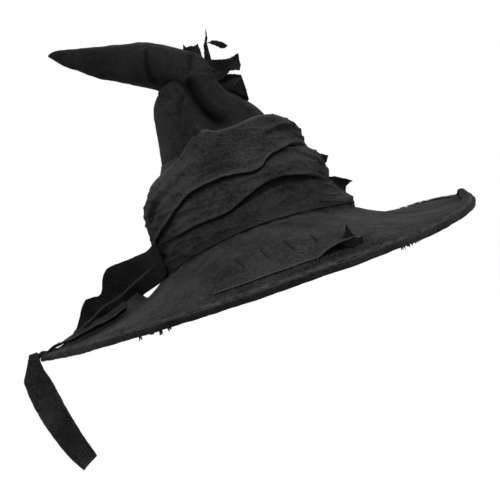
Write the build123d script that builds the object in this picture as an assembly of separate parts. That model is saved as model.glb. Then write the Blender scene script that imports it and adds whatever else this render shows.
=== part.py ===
from build123d import *
import math
import os

# Crooked witch's hat of black distressed cloth: a drooping wired brim, a slouched cone
# with two wound scarves, a bent tip, a sash whose end hangs off the brim, and torn rags.
# Millimetres. +X is the wearer's left as seen from the front, +Y points away from the
# front, +Z is up. The origin is the centre of the head opening.

# ---- driving sizes -------------------------------------------------------------------

head_radius = 91.0          # inside of the sweatband: 572 mm round, hat size 57
band_thickness = 1.2
band_height = 18.0
fit_gap = 0.3               # between pieces that are sewn but not fused
lining_cloth = 0.8
crown_cloth = 1.4
sash_cloth = 1.2
wrap_cloth = 1.6
rag_cloth = 1.2

top_cloth = 1.2             # brim: upper cloth, stiffener and under cloth
stiffener = 1.6
under_cloth = 1.0
ply_gap = 0.2
hem_cloth = 1.2
hem_depth = 10.0
hem_gap = 0.5               # between the hem, or loose trim, and the brim's cloths
wire_width = 2.0            # flat spring-steel brim wire
wire_height = 1.4
wire_slack = 0.4
wire_ends = 1.0             # gap between the wire's two ends
joiner_length = 16.0
joiner_wall = 0.3

rim_radius = 200.0          # round part of the brim
tip_reach = 221.0           # centre of the small rounding of the pointed left side
tip_rounding = 6.0
brim_stations = 48          # sections round the brim
brim_parts = (0.0, 0.14, 0.34, 0.56, 0.78, 1.0)   # flat faces from crown to hem

# Heights of the brim's upper face, as mean and harmonics round the hat.
seam_mean = 5.5             # where the crown meets the brim: arched at front and back
seam_arch = -7.0
rim_mean = -29.75
rim_side = 0.5
rim_back = 7.0
rim_ends = 1.25
rim_twist = 3.5

# Crown stations: height, sideways lean, and how much narrower than the base.
crown_stations = [
    (10.0, 0.0, 0.0),
    (20.0, -2.5, 5.5),
    (33.0, -5.0, 12.5),
    (50.0, -5.0, 16.5),
    (65.0, -5.0, 22.5),
    (80.0, -3.5, 29.5),
    (95.0, -3.0, 37.5),
    (112.0, -4.0, 45.0),
    (120.0, -6.5, 48.5),
    (130.0, -8.5, 51.5),
    (140.0, -12.0, 57.0),
    (150.0, -14.0, 61.0),
    (160.0, -11.5, 66.0),
    (168.0, -10.0, 70.0),
]
crown_gores = 24            # flat faces round the crown
tip_gores = 18
ball_bands = 9
ball_sides = 32
crown_skirt = 7.0           # cloth turned down inside the brim
cone_top = 97.0             # seam between cone and neck, hidden by the upper scarf
lining_top = 90.0

# How far each scarf stands off the crown at the stations, on the -X and the +X side.
lower_puff = [3.5, 3.5, 3.5, 6.0, 7.5, 4.0, 2.5, 2.5, 2.5, 2.5, 2.5, 2.5, 2.5, 2.5]
lower_puff_right = [3.5, 3.5, 3.5, 10.5, 8.5, 4.0, 2.5, 2.5, 2.5, 2.5, 2.5, 2.5, 2.5, 2.5]
upper_puff = [6.0, 6.0, 6.0, 9.0, 12.5, 9.0, 3.0, 2.5, 2.5, 2.5, 2.5, 2.5, 2.5, 2.5]
upper_puff_right = [6.0, 6.0, 6.0, 12.8, 11.0, 10.0, 14.5, 6.0, 3.0, 2.5, 2.5, 2.5, 2.5, 2.5]

# Wavy edges round the crown: mean, cos, sin, cos 2, sin 2, sin 3.
blade_reach = (15.0, 150.0)
sash_edge = (35.0, 0.0, 0.0, -5.0, -6.0, 0.0)
scarf_edge = (54.0, 17.0, -5.0, -4.0, 3.0, -4.0)
scarf_top = (103.0, 7.0, -4.0, -4.0, 3.0, 0.0)
tuck = 8.0                  # how far one cloth runs on under the next

# Bend between neck and tip, a ball of cloth turning in a pocket.
bend_centre = Vector(-10.0, 0.0, 168.0)
ball_radius = 26.0
skirt_cloth = 1.9
bend_gap = 0.4
ball_cloth = 2.0
rim_tilt = 11.0             # degrees, the tip's lower edge dips to the left
droop_limit = -21.0         # degrees, a little past the lowest the tip goes
pocket_rise = 10.5          # the pocket's floor over the ball's lowest point
pocket_cloth = 4.5          # gathered cloth under the pocket
dome_foot = 6.0             # how far the ball runs down into the neck
neck_rise_left = 9.5        # the neck's edge over the pocket's floor
neck_rise_right = 3.5
mouth_radius = 13.0         # opening in the ball for the tip's wire
mouth_tilt = 32.0           # degrees up from straight left

# Tip stations: place of the centre in X and Z, and radius.
tip_stations = [
    (-48.0, 194.0, 18.5),
    (-62.0, 200.0, 16.2),
    (-80.0, 208.0, 13.6),
    (-98.0, 217.0, 9.6),
    (-112.0, 225.5, 5.8),
    (-120.0, 230.8, 2.2),
]
tip_root = 12.0             # first ring of the tip, beyond the bend's centre

stay_radius = 0.8           # bendable wire in neck and tip
stay_sides = 8
stay_stations = 20
stay_sewn = (120.0, 130.0)  # heights where the neck's wire is sewn to its wall

# Sash end: a standing curtain beside the crown (X, Y, upper and lower edge), a ribbon
# along the brim (X, front and back edge), and the hanging strap.
curtain = [(-84.0, 24.0, 26.0, 2.0), (-97.0, 19.0, 27.0, 1.0), (-110.0, 16.0, 28.0, -4.0),
           (-124.0, 20.0, 27.5, -4.0), (-137.0, 16.0, 27.0, -9.0),
           (-145.0, 12.0, 23.0, -40.0), (-152.0, 12.0, 10.0, -40.0),
           (-158.0, 13.0, 6.0, -40.0), (-170.0, 9.0, 6.5, -40.0),
           (-176.0, 6.0, 2.0, -40.0), (-188.0, 8.0, -15.0, -40.0)]
ribbon = [(-140.0, -6.0, 5.0), (-155.0, -7.0, 3.5), (-170.0, -9.0, 0.5),
          (-190.0, -8.0, 1.0), (-210.0, -5.5, 2.5), (-222.0, -4.0, 3.5),
          (-231.0, -3.5, 3.5)]
tack_place = -207.0
tack_side = -1.5
tack_size = (3.0, 5.0, 0.8)
fold_radius = 2.0           # rolled end of the ribbon, which the strap hangs on
fold_left = -244.0
fold_right = -230.0
loop_left = -242.5
loop_right = -231.5
strap_outline = [(-242.5, -1.0), (-250.0, -16.0), (-247.5, -52.0), (-242.0, -78.0),
                 (-234.0, -97.0), (-225.0, -114.0), (-212.5, -105.0), (-217.0, -85.0),
                 (-221.0, -55.0), (-225.0, -24.0), (-231.5, -8.0),
                 (-231.5, -1.0)]

# Laced strip on the front of the brim.
strip_inset = 1.5           # from the hem's edge
strip_width = 33.0
strip_start = -105.0        # degrees round from +X
strip_end = -79.0
slit_angles = [-101.0, -91.0, -84.5]
slit_inset = 3.0            # from the strip's inner edge
slit_length = 16.0
slit_width = 0.8
strip_stations = 8
tail_sweep = 13.0           # degrees that the loose end covers
tail_lift = 9.0
tail_width = 28.0
tail_notch = 12.0
tail_hinge_gap = 1.0

# ---- shared forms --------------------------------------------------------------------

brim_stack = under_cloth + stiffener + top_cloth + 2 * ply_gap
cloth_inset = hem_cloth + wire_width + 2 * wire_slack   # cloths end inside the wire
base_radius = head_radius + band_thickness + lining_cloth + crown_cloth + 2 * fit_gap
pocket_floor = bend_centre.Z - ball_radius + pocket_rise
strip_outer = rim_radius - hem_depth - strip_inset
strip_inner = strip_outer - strip_width
far = 400.0


def brim_edge(angle):
    """Distance from the axis to the rim in one direction."""
    turn = abs(math.pi - angle % (2 * math.pi))
    tangent = math.acos((rim_radius - tip_rounding) / tip_reach)
    return rim_radius / math.cos(max(tangent - turn, 0.0))


def brim_top(x, y):
    """Height of the brim's upper face."""
    angle = math.atan2(y, x)
    reach = max(math.hypot(x, y), 0.55 * base_radius)
    share = (reach - base_radius) / (brim_edge(angle) - base_radius)
    if share > 1:
        share = 1 + 0.3 * math.tanh((share - 1) / 0.3)
    if share < 0:
        share = 0.3 * math.tanh(share / 0.3)
    seam = seam_mean + seam_arch * math.cos(2 * angle)
    rim = (rim_mean + rim_side * math.cos(angle) + rim_back * math.sin(angle)
           + rim_ends * math.cos(2 * angle) + rim_twist * math.sin(2 * angle))
    along_sides = 1 - (1 - share) ** 3
    along_front = 0.45 * share + 0.55 * share ** 3
    front = math.sin(angle) ** 2
    return seam + (rim - seam) * (front * along_front + (1 - front) * along_sides)


def gore_reach(angle, grow):
    """Distance to the crown's flat gores at its foot, at an angle in degrees."""
    step = 360.0 / crown_gores
    off = (angle + step / 2) % step - step / 2
    return (base_radius + grow) / math.cos(math.radians(step / 2 - abs(off)))


def rim_reach(angle, grow):
    """Distance to the rim at an angle in degrees, grown or shrunk evenly."""
    return brim_edge(math.radians(angle)) * (1 + grow / rim_radius)


def sheet_reaches(angle):
    """Where the brim cloths' flat faces meet, from the crown to inside the hem."""
    first = gore_reach(angle, fit_gap)
    last = rim_reach(angle, -hem_depth)
    inner = [first + part * (last - first) for part in brim_parts]
    return inner + [rim_reach(angle, -cloth_inset)]


def brim_point(reach, angle, lift):
    """Point over the brim's upper face at a distance and an angle in degrees."""
    x = reach * math.cos(math.radians(angle))
    y = reach * math.sin(math.radians(angle))
    return Vector(x, y, brim_top(x, y) + lift)


def brim_height(x, y):
    """Height of the brim's upper face with its flat faces."""
    step = 360.0 / brim_stations
    angle = math.degrees(math.atan2(y, x))
    start = math.floor(angle / step) * step
    turn = (angle - start) / step
    reach = math.hypot(x, y)

    def along(station):
        reaches = sheet_reaches(station)
        held = min(max(reach, reaches[0]), reaches[-1])
        for inner, outer in zip(reaches, reaches[1:]):
            if held <= outer:
                part = (held - inner) / (outer - inner)
                ends = [brim_point(place, station, 0).Z for place in (inner, outer)]
                return ends[0] + part * (ends[1] - ends[0])
        return brim_point(held, station, 0).Z

    return (1 - turn) * along(start) + turn * along(start + step)


def sectioned(loops, closed):
    """Solid of flat triangles through loops of points, one loop per station."""
    faces = []
    for near, beyond in zip(loops, loops[1:] + loops[:1] if closed else loops[1:]):
        for a, b, c, d in zip(near, near[1:] + near[:1], beyond[1:] + beyond[:1], beyond):
            outward = math.hypot(a.X, a.Y) < math.hypot(b.X, b.Y)
            halves = ((a, b, c), (a, c, d)) if outward else ((a, b, d), (b, c, d))
            faces += [Face(Wire.make_polygon(half)) for half in halves]
    if not closed:
        faces += [Face(Wire.make_polygon(end)) for end in (loops[0], loops[-1])]
    solid = Solid(Shell(faces))
    if solid.volume < 0:
        return sectioned([loop[::-1] for loop in loops], closed)
    return solid


def around(section):
    """Closed ring whose section is a function of the angle."""
    step = 360.0 / brim_stations
    return sectioned([section(i * step) for i in range(brim_stations)], True)


def crown_at(height):
    """Lean and radius of the crown's outer face at a height, between stations."""
    if height <= crown_stations[0][0]:
        return crown_stations[0][1], base_radius
    for (z0, lean0, in0), (z1, lean1, in1) in zip(crown_stations, crown_stations[1:]):
        if height <= z1:
            part = (height - z0) / (z1 - z0)
            return lean0 + part * (lean1 - lean0), base_radius - in0 - part * (in1 - in0)
    return crown_stations[-1][1], base_radius - crown_stations[-1][2]


def gores(radius, place, count):
    """Corners of a ring of flat gores, each as far from the middle as the radius."""
    corner = radius / math.cos(math.pi / count)
    turns = [2 * math.pi * i / count for i in range(count)]
    return [place.from_local_coords(Vector(corner * math.cos(turn), corner * math.sin(turn)))
            for turn in turns]


def crown_form(grow, left=None, right=None):
    """The crown's form grown evenly, or by a list of stand-offs on each side."""
    rings = []
    for i, (height, lean, taper) in enumerate(crown_stations):
        out_left = grow + (left[i] if left else 0.0)
        out_right = grow + (right[i] if right else 0.0)
        radius = base_radius - taper + (out_left + out_right) / 2
        place = Plane((lean + (out_right - out_left) / 2, 0, height))
        if i == 0:
            rings.append(gores(radius, place.offset(-height - 30.0), crown_gores))
        rings.append(gores(radius, place, crown_gores))
    return sectioned(rings, False)


def level(low, high):
    """A flat slice of space."""
    return Pos(0, 0, (low + high) / 2) * Box(2 * far, 2 * far, high - low)


def edge_height(edge, angle):
    """Height of a wavy edge at an angle in degrees, from its harmonics."""
    turn = math.radians(angle)
    mean, cos1, sin1, cos2, sin2, sin3 = edge
    return (mean + cos1 * math.cos(turn) + sin1 * math.sin(turn) + cos2 * math.cos(2 * turn)
            + sin2 * math.sin(2 * turn) + sin3 * math.sin(3 * turn))


def blade(heights, depth):
    """Ring of space between edges at a few distances out, and a depth from them."""
    def section(angle):
        near = heights(angle)
        turn = math.radians(angle)
        points = [Vector(r * math.cos(turn), r * math.sin(turn), z) for r, z in near]
        return points + [point + Vector(0, 0, depth) for point in points[::-1]]

    return around(section)


def above(edge, shift=0.0):
    """Space above a wavy edge."""
    return blade(lambda angle: [(r, edge_height(edge, angle) + shift) for r in blade_reach],
                 far)


def below(edge, shift=0.0):
    """Space below a wavy edge."""
    return blade(lambda angle: [(r, edge_height(edge, angle) + shift) for r in blade_reach],
                 -far)


def over_brim(lift):
    """Space above the brim's inner part."""
    def heights(angle):
        reaches = sheet_reaches(angle)[:3]
        edge = [(reach, brim_point(reach, angle, lift).Z) for reach in reaches]
        return [(blade_reach[0], edge[0][1])] + edge

    return blade(heights, far)


def plate(points, y, thickness):
    """Flat cloth piece standing in the XZ plane, centred on y."""
    outline = Plane.XZ * Polygon(*points, align=None)
    return extrude(Pos(0, y, 0) * outline, thickness / 2, both=True)


def write(name, shape):
    export_step(shape, f"parts/{name}.step")


# ---- brim ----------------------------------------------------------------------------

def brim_sheet(low, high):
    """One brim cloth between two offsets from the upper face."""
    def section(angle):
        upper = [brim_point(reach, angle, high) for reach in sheet_reaches(angle)]
        lower = [brim_point(reach, angle, low) for reach in sheet_reaches(angle)]
        return upper + lower[::-1]

    return around(section)


def brim_layers():
    """Under cloth, stiffener and upper cloth, one on another."""
    layers = {}
    high = 0.0
    for name, cloth in (("brim_top_cloth", top_cloth), ("brim_interfacing", stiffener),
                        ("brim_under_cloth", under_cloth)):
        layers[name] = brim_sheet(high - cloth, high)
        high -= cloth + ply_gap
    return layers


def rim_ring(outline):
    """Ring along the rim, its section as distances in from it and heights."""
    return around(lambda angle: [brim_point(rim_reach(angle, -inward), angle, lift)
                                 for inward, lift in outline])


def brim_hem():
    """Cloth folded round the rim, open towards the crown."""
    top = hem_gap
    bottom = -brim_stack - hem_gap
    outside = [(inward, top + hem_cloth) for inward in (hem_depth, cloth_inset, 0.0)]
    outside += [(inward, bottom - hem_cloth) for inward in (0.0, cloth_inset, hem_depth)]
    inside = [(inward, bottom) for inward in (hem_depth, cloth_inset, hem_cloth)]
    inside += [(inward, top) for inward in (hem_cloth, cloth_inset, hem_depth)]
    return rim_ring(outside + inside)


def wire_ring(grow):
    """Flat wire, or the space round it, just beyond the edge of the cloths."""
    outer = hem_cloth + wire_slack - grow
    inner = hem_cloth + wire_slack + wire_width + grow
    high = -(brim_stack - wire_height) / 2 + grow
    low = high - wire_height - 2 * grow
    return rim_ring([(outer, high), (outer, low), (inner, low), (inner, high)])


def brim_wire():
    """Spring-steel wire with its two ends meeting at the back."""
    return wire_ring(0.0) - Pos(0, rim_radius, 0) * Box(wire_ends, 60.0, far)


def wire_joiner():
    """Crimped sleeve over the wire's two ends."""
    span = Pos(0, rim_radius, 0) * Box(joiner_length, 60.0, far)
    return (wire_ring(joiner_wall) & span) - wire_ring(0.05)


# ---- crown ---------------------------------------------------------------------------

def sweatband():
    """Ribbed band round the head opening."""
    return Cylinder(head_radius + band_thickness, band_height) - Cylinder(
        head_radius, band_height)


def crown_lining():
    outer = crown_form(-crown_cloth - fit_gap)
    inner = crown_form(-crown_cloth - fit_gap - lining_cloth)
    return (outer - inner) & level(-crown_skirt + 1.0, lining_top)


def crown_cone():
    return (crown_form(0.0) - crown_form(-crown_cloth)) & level(-crown_skirt, cone_top)


def ball(radius, hollow=True):
    """Ball of flat faces about the bend's axis, none nearer its centre than the radius
    when it is cut away, and no corner further out when it is a solid."""
    step = math.pi / ball_bands
    corner = radius / (math.cos(step / 2) * math.cos(math.pi / ball_sides))
    reach = corner if hollow else radius
    rings = []
    for i in range(ball_bands):
        turn = -math.pi / 2 + (i + 0.5) * step
        place = Plane(bend_centre + Vector(0, reach * math.sin(turn), 0), x_dir=(1, 0, 0),
                      z_dir=(0, 1, 0))
        size = reach * math.cos(turn) * math.cos(math.pi / ball_sides)
        rings.append(gores(size, place, ball_sides))
    return sectioned(rings, False)


def crown_neck():
    """Neck with the pocket and ball that the tip turns on."""
    left = pocket_floor + neck_rise_left
    right = pocket_floor + neck_rise_right
    span = ball_radius + 2.0
    top = Plane.XZ * Polygon((-far, 0), (-far, left), (bend_centre.X - span, left),
                             (bend_centre.X + span, right), (far, right), (far, 0),
                             align=None)
    body = crown_form(0.0) & level(cone_top + fit_gap, far) & extrude(top, far, both=True)
    hollow = crown_form(-crown_cloth) & level(0, pocket_floor - pocket_cloth)
    dome = ball(ball_radius, False)
    pocket = (ball(ball_radius + 2 * bend_gap + skirt_cloth) - dome) & level(
        pocket_floor, far)
    dome &= level(pocket_floor - dome_foot, far)
    tilt = math.radians(mouth_tilt)
    way = Plane(bend_centre, z_dir=(-math.cos(tilt), 0, math.sin(tilt)))
    mouth = way * Cylinder(mouth_radius, 2 * ball_radius,
                           align=(Align.CENTER, Align.CENTER, Align.MIN))
    drooped = tip_horn(bend_gap, skirt_cloth + bend_gap).rotate(
        Axis(bend_centre, (0, 1, 0)), droop_limit)
    neck = (body - pocket - drooped) + dome
    return neck - hollow - ball(ball_radius - ball_cloth) - mouth


def stay_wire(points, radii):
    """Wire of straight runs joined by tangent arcs, in the XZ plane."""
    path = FilletPolyline(*points, radius=radii)
    rings = []
    for i in range(stay_stations + 1):
        part = i / stay_stations
        place = Plane(path.position_at(part), x_dir=(0, 1, 0), z_dir=path.tangent_at(part))
        rings.append(gores(stay_radius, place, stay_sides))
    return sectioned(rings, False)


def crown_wire():
    """Bendable wire that holds the neck up, sewn to its right wall."""
    seat = crown_cloth + fit_gap + stay_radius
    points = []
    for height in stay_sewn:
        lean, radius = crown_at(height)
        points.append((lean + radius - seat, 0, height))
    centre = bend_centre
    points += [(centre.X, 0, pocket_floor - 2.5), (centre.X, 0, centre.Z - 2.0)]
    return stay_wire(points, [8.0, 8.0])


# ---- tip -----------------------------------------------------------------------------

def tip_direction():
    first = Vector(tip_stations[0][0], 0, tip_stations[0][1])
    return (first - bend_centre).normalized()


def tip_horn(grow, skin):
    """Outer or inner form of the bent tip."""
    radius = ball_radius + bend_gap + skin
    ring = math.sqrt(radius ** 2 - tip_root ** 2)
    way = tip_direction()
    places = [bend_centre + way * tip_root]
    places += [Vector(x, 0, z) for x, z, _ in tip_stations]
    sizes = [ring] + [size + grow for _, _, size in tip_stations]
    rings = []
    for i, (place, size) in enumerate(zip(places, sizes)):
        if size < 1.0:
            break
        after = places[min(i + 1, len(places) - 1)]
        before = places[max(i - 1, 0)]
        normal = way if i == 0 else (after - before).normalized()
        rings.append(gores(size, Plane(place, x_dir=(0, 1, 0), z_dir=normal), tip_gores))
    return sectioned(rings, False)


def tip_cone():
    """Drooping tip whose lower edge slides over the neck's ball."""
    way = tip_direction()
    inner = ball_radius + bend_gap
    tilt = math.radians(rim_tilt)
    over = Plane(bend_centre, z_dir=(-math.sin(tilt), 0, math.cos(tilt)))
    over_box = over * Box(far, far, far, align=(Align.CENTER, Align.CENTER, Align.MIN))
    behind = Plane(bend_centre + way * tip_root, z_dir=way * -1)
    behind_box = behind * Box(far, far, far, align=(Align.CENTER, Align.CENTER, Align.MIN))
    bowl = (ball(inner + skirt_cloth, False) - ball(inner)) & over_box & behind_box
    horn = tip_horn(0.0, skirt_cloth) - tip_horn(-crown_cloth, 0.0)
    return bowl + horn


def tip_wire():
    """Bendable wire in the tip, held in its narrow end."""
    way = tip_direction()
    points = [bend_centre + way * 2.0]
    points += [Vector(x, 0, z) for x, z, _ in (tip_stations[0], tip_stations[2])]
    last = Vector(tip_stations[-2][0], 0, tip_stations[-2][1])
    points.append(last + (points[-1] - last).normalized() * fit_gap)
    return stay_wire(points, [40.0, 60.0])


# ---- sash, scarves and rags ----------------------------------------------------------

def sash_band():
    outer = crown_form(fit_gap + sash_cloth)
    inner = crown_form(fit_gap)
    band = (outer - inner) & level(-20, 70) & below(sash_edge, tuck)
    return band & over_brim(hem_gap)


def wrap_lower():
    outer = crown_form(0.0, lower_puff, lower_puff_right)
    inner = crown_form(-wrap_cloth, lower_puff, lower_puff_right)
    return (outer - inner) & above(sash_edge) & below(scarf_edge, tuck)


def wrap_upper():
    outer = crown_form(0.0, upper_puff, upper_puff_right)
    inner = crown_form(-wrap_cloth, upper_puff, upper_puff_right)
    return (outer - inner) & above(scarf_edge) & below(scarf_top)


def sash_tail():
    """Standing wavy end of the sash, from the crown towards the brim's point."""
    stations = []
    for i, (x, y, high, low) in enumerate(curtain):
        before = curtain[max(i - 1, 0)]
        after = curtain[min(i + 1, len(curtain) - 1)]
        run = Vector(after[0] - before[0], after[1] - before[1], 0).normalized()
        side = Vector(-run.Y, run.X, 0) * (sash_cloth / 2)
        foot = max(low, brim_height(x, y) + hem_gap)
        top = Vector(x, y, high)
        bottom = Vector(x, y, foot)
        stations.append([top + side, top - side, bottom - side, bottom + side])
    return sectioned(stations, False) - crown_form(2 * fit_gap + sash_cloth)


def ribbon_lift():
    """Height of the ribbon's underside over the brim, clear of the hem."""
    return hem_gap + hem_cloth + fit_gap


def sash_run():
    """Ribbon laid along the brim's crest, rolled at its end."""
    thick = Vector(0, 0, sash_cloth)
    stations = []
    for x, front, back in ribbon:
        low = brim_top(x, (front + back) / 2) + ribbon_lift()
        near, off = Vector(x, front, low), Vector(x, back, low)
        stations.append([near, off, off + thick, near + thick])
    return sectioned(stations, False) + fold_roll(fold_radius, fold_left, fold_right)


def fold_height():
    return brim_top(fold_right, 0) + ribbon_lift() + sash_cloth / 2


def fold_roll(radius, left, right):
    along = Plane((left, 0, fold_height()), z_dir=(1, 0, 0))
    return along * Cylinder(radius, right - left,
                            align=(Align.CENTER, Align.CENTER, Align.MIN))


def sash_tack():
    """Bar tack that holds the ribbon to the brim."""
    length, width, thick = tack_size
    up = Vector(0, 0, thick)
    stations = []
    for x in (tack_place - length / 2, tack_place + length / 2):
        low = brim_top(x, tack_side) + ribbon_lift() + sash_cloth + fit_gap
        near = Vector(x, tack_side - width / 2, low)
        off = Vector(x, tack_side + width / 2, low)
        stations.append([near, off, off + up, near + up])
    return sectioned(stations, False)


def strap():
    """Hanging end of the sash, looped over the ribbon's fold."""
    socket = fold_radius + fit_gap
    loop = fold_roll(socket + sash_cloth, loop_left, loop_right)
    outline = [(x, z + fold_height()) for x, z in strap_outline]
    hang = plate(outline, 0, sash_cloth)
    return loop + hang - fold_roll(socket, loop_left - 20, loop_right + 20)


def laced_strip():
    """Cloth strip on the front of the brim, with its lacing slits."""
    step = (strip_end - strip_start) / strip_stations
    stations = []
    for i in range(strip_stations + 1):
        angle = strip_start + i * step
        reaches = [strip_inner + j * (strip_outer - strip_inner) / 3 for j in range(4)]
        lower = [brim_point(reach, angle, hem_gap) for reach in reaches]
        upper = [brim_point(reach, angle, hem_gap + rag_cloth) for reach in reaches]
        stations.append(lower + upper[::-1])
    strip = sectioned(stations, False)
    for angle in slit_angles:
        place = Rot(0, 0, angle) * Pos(strip_inner + slit_inset + slit_length / 2, 0)
        strip -= place * Box(slit_length, slit_width, far)
    return strip


def tail_plane():
    """Plane of the strip's loose end: X runs along it, Y up across it."""
    lift = hem_gap + rag_cloth / 2
    middle = (strip_inner + strip_outer) / 2
    root = brim_point(middle, strip_end, lift)
    end = brim_point(middle, strip_end + tail_sweep, lift + tail_lift)
    across = brim_point(strip_inner, strip_end, 0) - brim_point(strip_outer, strip_end, 0)
    normal = (end - root).cross(across).normalized()
    along = across.cross(normal).normalized()
    return Plane(root, x_dir=along, z_dir=normal), (end - root).length


def strip_tail():
    """Swallow-tailed loose end of the strip, lifted off the brim."""
    plane, length = tail_plane()
    half = tail_width / 2
    gap = tail_hinge_gap
    outline = Polygon((gap, -half), (length, -half), (length - tail_notch, 0),
                      (length, half), (gap, half), align=None)
    return extrude(plane * outline, rag_cloth / 2, both=True)


# Torn scraps: Y, then the outline. On the crown X is counted in from its foot's side,
# on the tip X and Z are as they stand.
rag_outlines = {
    "rag_upper": (-3.0, [(-85, 164), (-73, 172), (-67, 171), (-57, 169), (-51, 170),
                         (-52, 160), (-55, 155.5), (-65, 157), (-72, 152), (-83, 152)]),
    "rag_lower": (0.0, [(-81, 154), (-64, 156), (-56, 152), (-55, 149), (-56, 135),
                        (-57, 127), (-65, 124)]),
    "side_rag_large": (-8.0, [(-25, 34), (-7, 31), (6, 23), (-2, 20), (-7, 13), (-17, 16)]),
    "side_rag_small": (-14.0, [(-21, 57), (-12, 56), (-7, 52), (-11, 47), (-19, 46)]),
}
tip_rag_outlines = {
    "rag_top": (3.0, [(-3, 190), (-1, 193), (0, 197), (4, 194), (12, 193.5), (13, 182),
                      (5, 180)]),
    "rag_spike": (3.0, [(12, 174.5), (19.5, 176.5), (19.0, 183), (23, 200), (16.5, 186),
                        (12, 180)]),
    "rag_diamond": (3.0, [(20.9, 189.5), (30, 192), (38, 183), (30.5, 180)]),
}


def crown_rag(name):
    """Torn scrap sewn to the crown, cut back to its surface."""
    y, points = rag_outlines[name]
    rag = plate([(base_radius + x, z) for x, z in points], y, rag_cloth)
    if name == "side_rag_large":
        sleeve = crown_form(fit_gap, lower_puff, lower_puff_right) & above(sash_edge, -1.0)
        return rag - crown_form(2 * fit_gap + sash_cloth) - sleeve
    if name == "side_rag_small":
        return rag - crown_form(fit_gap, lower_puff, lower_puff_right)
    return rag - crown_form(fit_gap) - ball(ball_radius + 2 * bend_gap + skirt_cloth + fit_gap)


def tip_rag(name):
    """Torn scrap sewn to the tip."""
    y, points = tip_rag_outlines[name]
    rag = plate(points, y, rag_cloth)
    skin = ball_radius + bend_gap + skirt_cloth + fit_gap
    return rag - ball(skin)


fray_size = (3.0, 1.0, 4.0)
fray_bits = {"fray_left": [-130.0, -119.0, -112.0, -104.0],
             "fray_right": [122.0, 128.0, 137.0]}


def fray(name):
    """Row of torn thread ends under the front of the hem."""
    bits = []
    for x in fray_bits[name]:
        y = -math.sqrt((rim_radius - hem_depth / 2) ** 2 - x * x)
        lowest = min(brim_height(x + dx, y + dy) for dx in (-2, 2) for dy in (-2, 2))
        z = lowest - brim_stack - 2 * hem_gap - hem_cloth
        bit = Pos(x, y, z - fray_size[2] / 2) * Rot(0, 0, 20) * Box(*fray_size)
        bits.append(bit)
    return Compound(bits)


# ---- writing -------------------------------------------------------------------------

os.makedirs("parts", exist_ok=True)

for layer_name, layer in brim_layers().items():
    write(layer_name, layer)
write("brim_hem", brim_hem())
write("brim_wire", brim_wire())
write("wire_joiner", wire_joiner())
write("sweatband", sweatband())
write("crown_lining", crown_lining())
write("crown_cone", crown_cone())
write("crown_neck", crown_neck())
write("crown_wire", crown_wire())
write("tip_cone", tip_cone())
write("tip_wire", tip_wire())
write("sash_band", sash_band())
write("wrap_lower", wrap_lower())
write("wrap_upper", wrap_upper())
write("sash_tail", sash_tail())
write("sash_run", sash_run())
write("sash_tack", sash_tack())
write("strap", strap())
write("laced_strip", laced_strip())
write("strip_tail", strip_tail())
for rag_name in rag_outlines:
    write(rag_name, crown_rag(rag_name))
for rag_name in tip_rag_outlines:
    write(rag_name, tip_rag(rag_name))
for fray_name in fray_bits:
    write(fray_name, fray(fray_name))
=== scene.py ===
import math
import random

import bmesh
import bpy
from mathutils import Matrix, Vector, noise


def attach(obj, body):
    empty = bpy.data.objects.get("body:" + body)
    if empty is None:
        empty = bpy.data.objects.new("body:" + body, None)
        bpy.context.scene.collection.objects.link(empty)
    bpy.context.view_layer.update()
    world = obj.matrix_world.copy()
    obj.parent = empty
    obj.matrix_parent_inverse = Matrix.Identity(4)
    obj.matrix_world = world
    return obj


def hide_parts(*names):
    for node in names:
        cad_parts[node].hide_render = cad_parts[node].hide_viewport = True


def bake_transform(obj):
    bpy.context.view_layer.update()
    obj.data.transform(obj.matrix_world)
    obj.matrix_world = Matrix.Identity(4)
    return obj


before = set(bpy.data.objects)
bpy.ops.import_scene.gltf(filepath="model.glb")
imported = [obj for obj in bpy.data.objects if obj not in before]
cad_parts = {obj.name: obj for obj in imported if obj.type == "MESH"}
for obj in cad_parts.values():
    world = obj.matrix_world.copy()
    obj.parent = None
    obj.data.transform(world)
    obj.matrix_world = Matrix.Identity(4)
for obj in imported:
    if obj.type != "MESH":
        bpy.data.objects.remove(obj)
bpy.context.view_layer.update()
scene = bpy.context.scene
mm = 0.001
print("frame loaded")

# Lengths in the piece dictionaries are millimetres and angles are degrees, counted from
# the wearer's left (+X); the front of the hat is at 270.


def ease(t):
    t = min(max(t, 0.0), 1.0)
    return t * t * (3 - 2 * t)


def hill(distance, width):
    return math.exp(-(distance / width) ** 2)


# a smooth line through (place, value) pairs; turn closes it round that many degrees
def keyed(points, at, turn=0.0):
    if turn:
        at = at % turn
        points = ([(p - turn, v) for p, v in points[-2:]] + list(points)
                  + [(p + turn, v) for p, v in points[:2]])
    if at <= points[0][0]:
        return points[0][1]
    for i in range(len(points) - 1):
        p0, v0 = points[i]
        p1, v1 = points[i + 1]
        if at <= p1:
            before = points[max(i - 1, 0)]
            after = points[min(i + 2, len(points) - 1)]
            slope0 = (v1 - before[1]) / (p1 - before[0])
            slope1 = (after[1] - v0) / (after[0] - p0)
            span = p1 - p0
            t = (at - p0) / span
            return ((2 * t ** 3 - 3 * t ** 2 + 1) * v0 + (t ** 3 - 2 * t ** 2 + t) * span * slope0
                    + (3 * t ** 2 - 2 * t ** 3) * v1 + (t ** 3 - t ** 2) * span * slope1)
    return points[-1][1]


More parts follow.
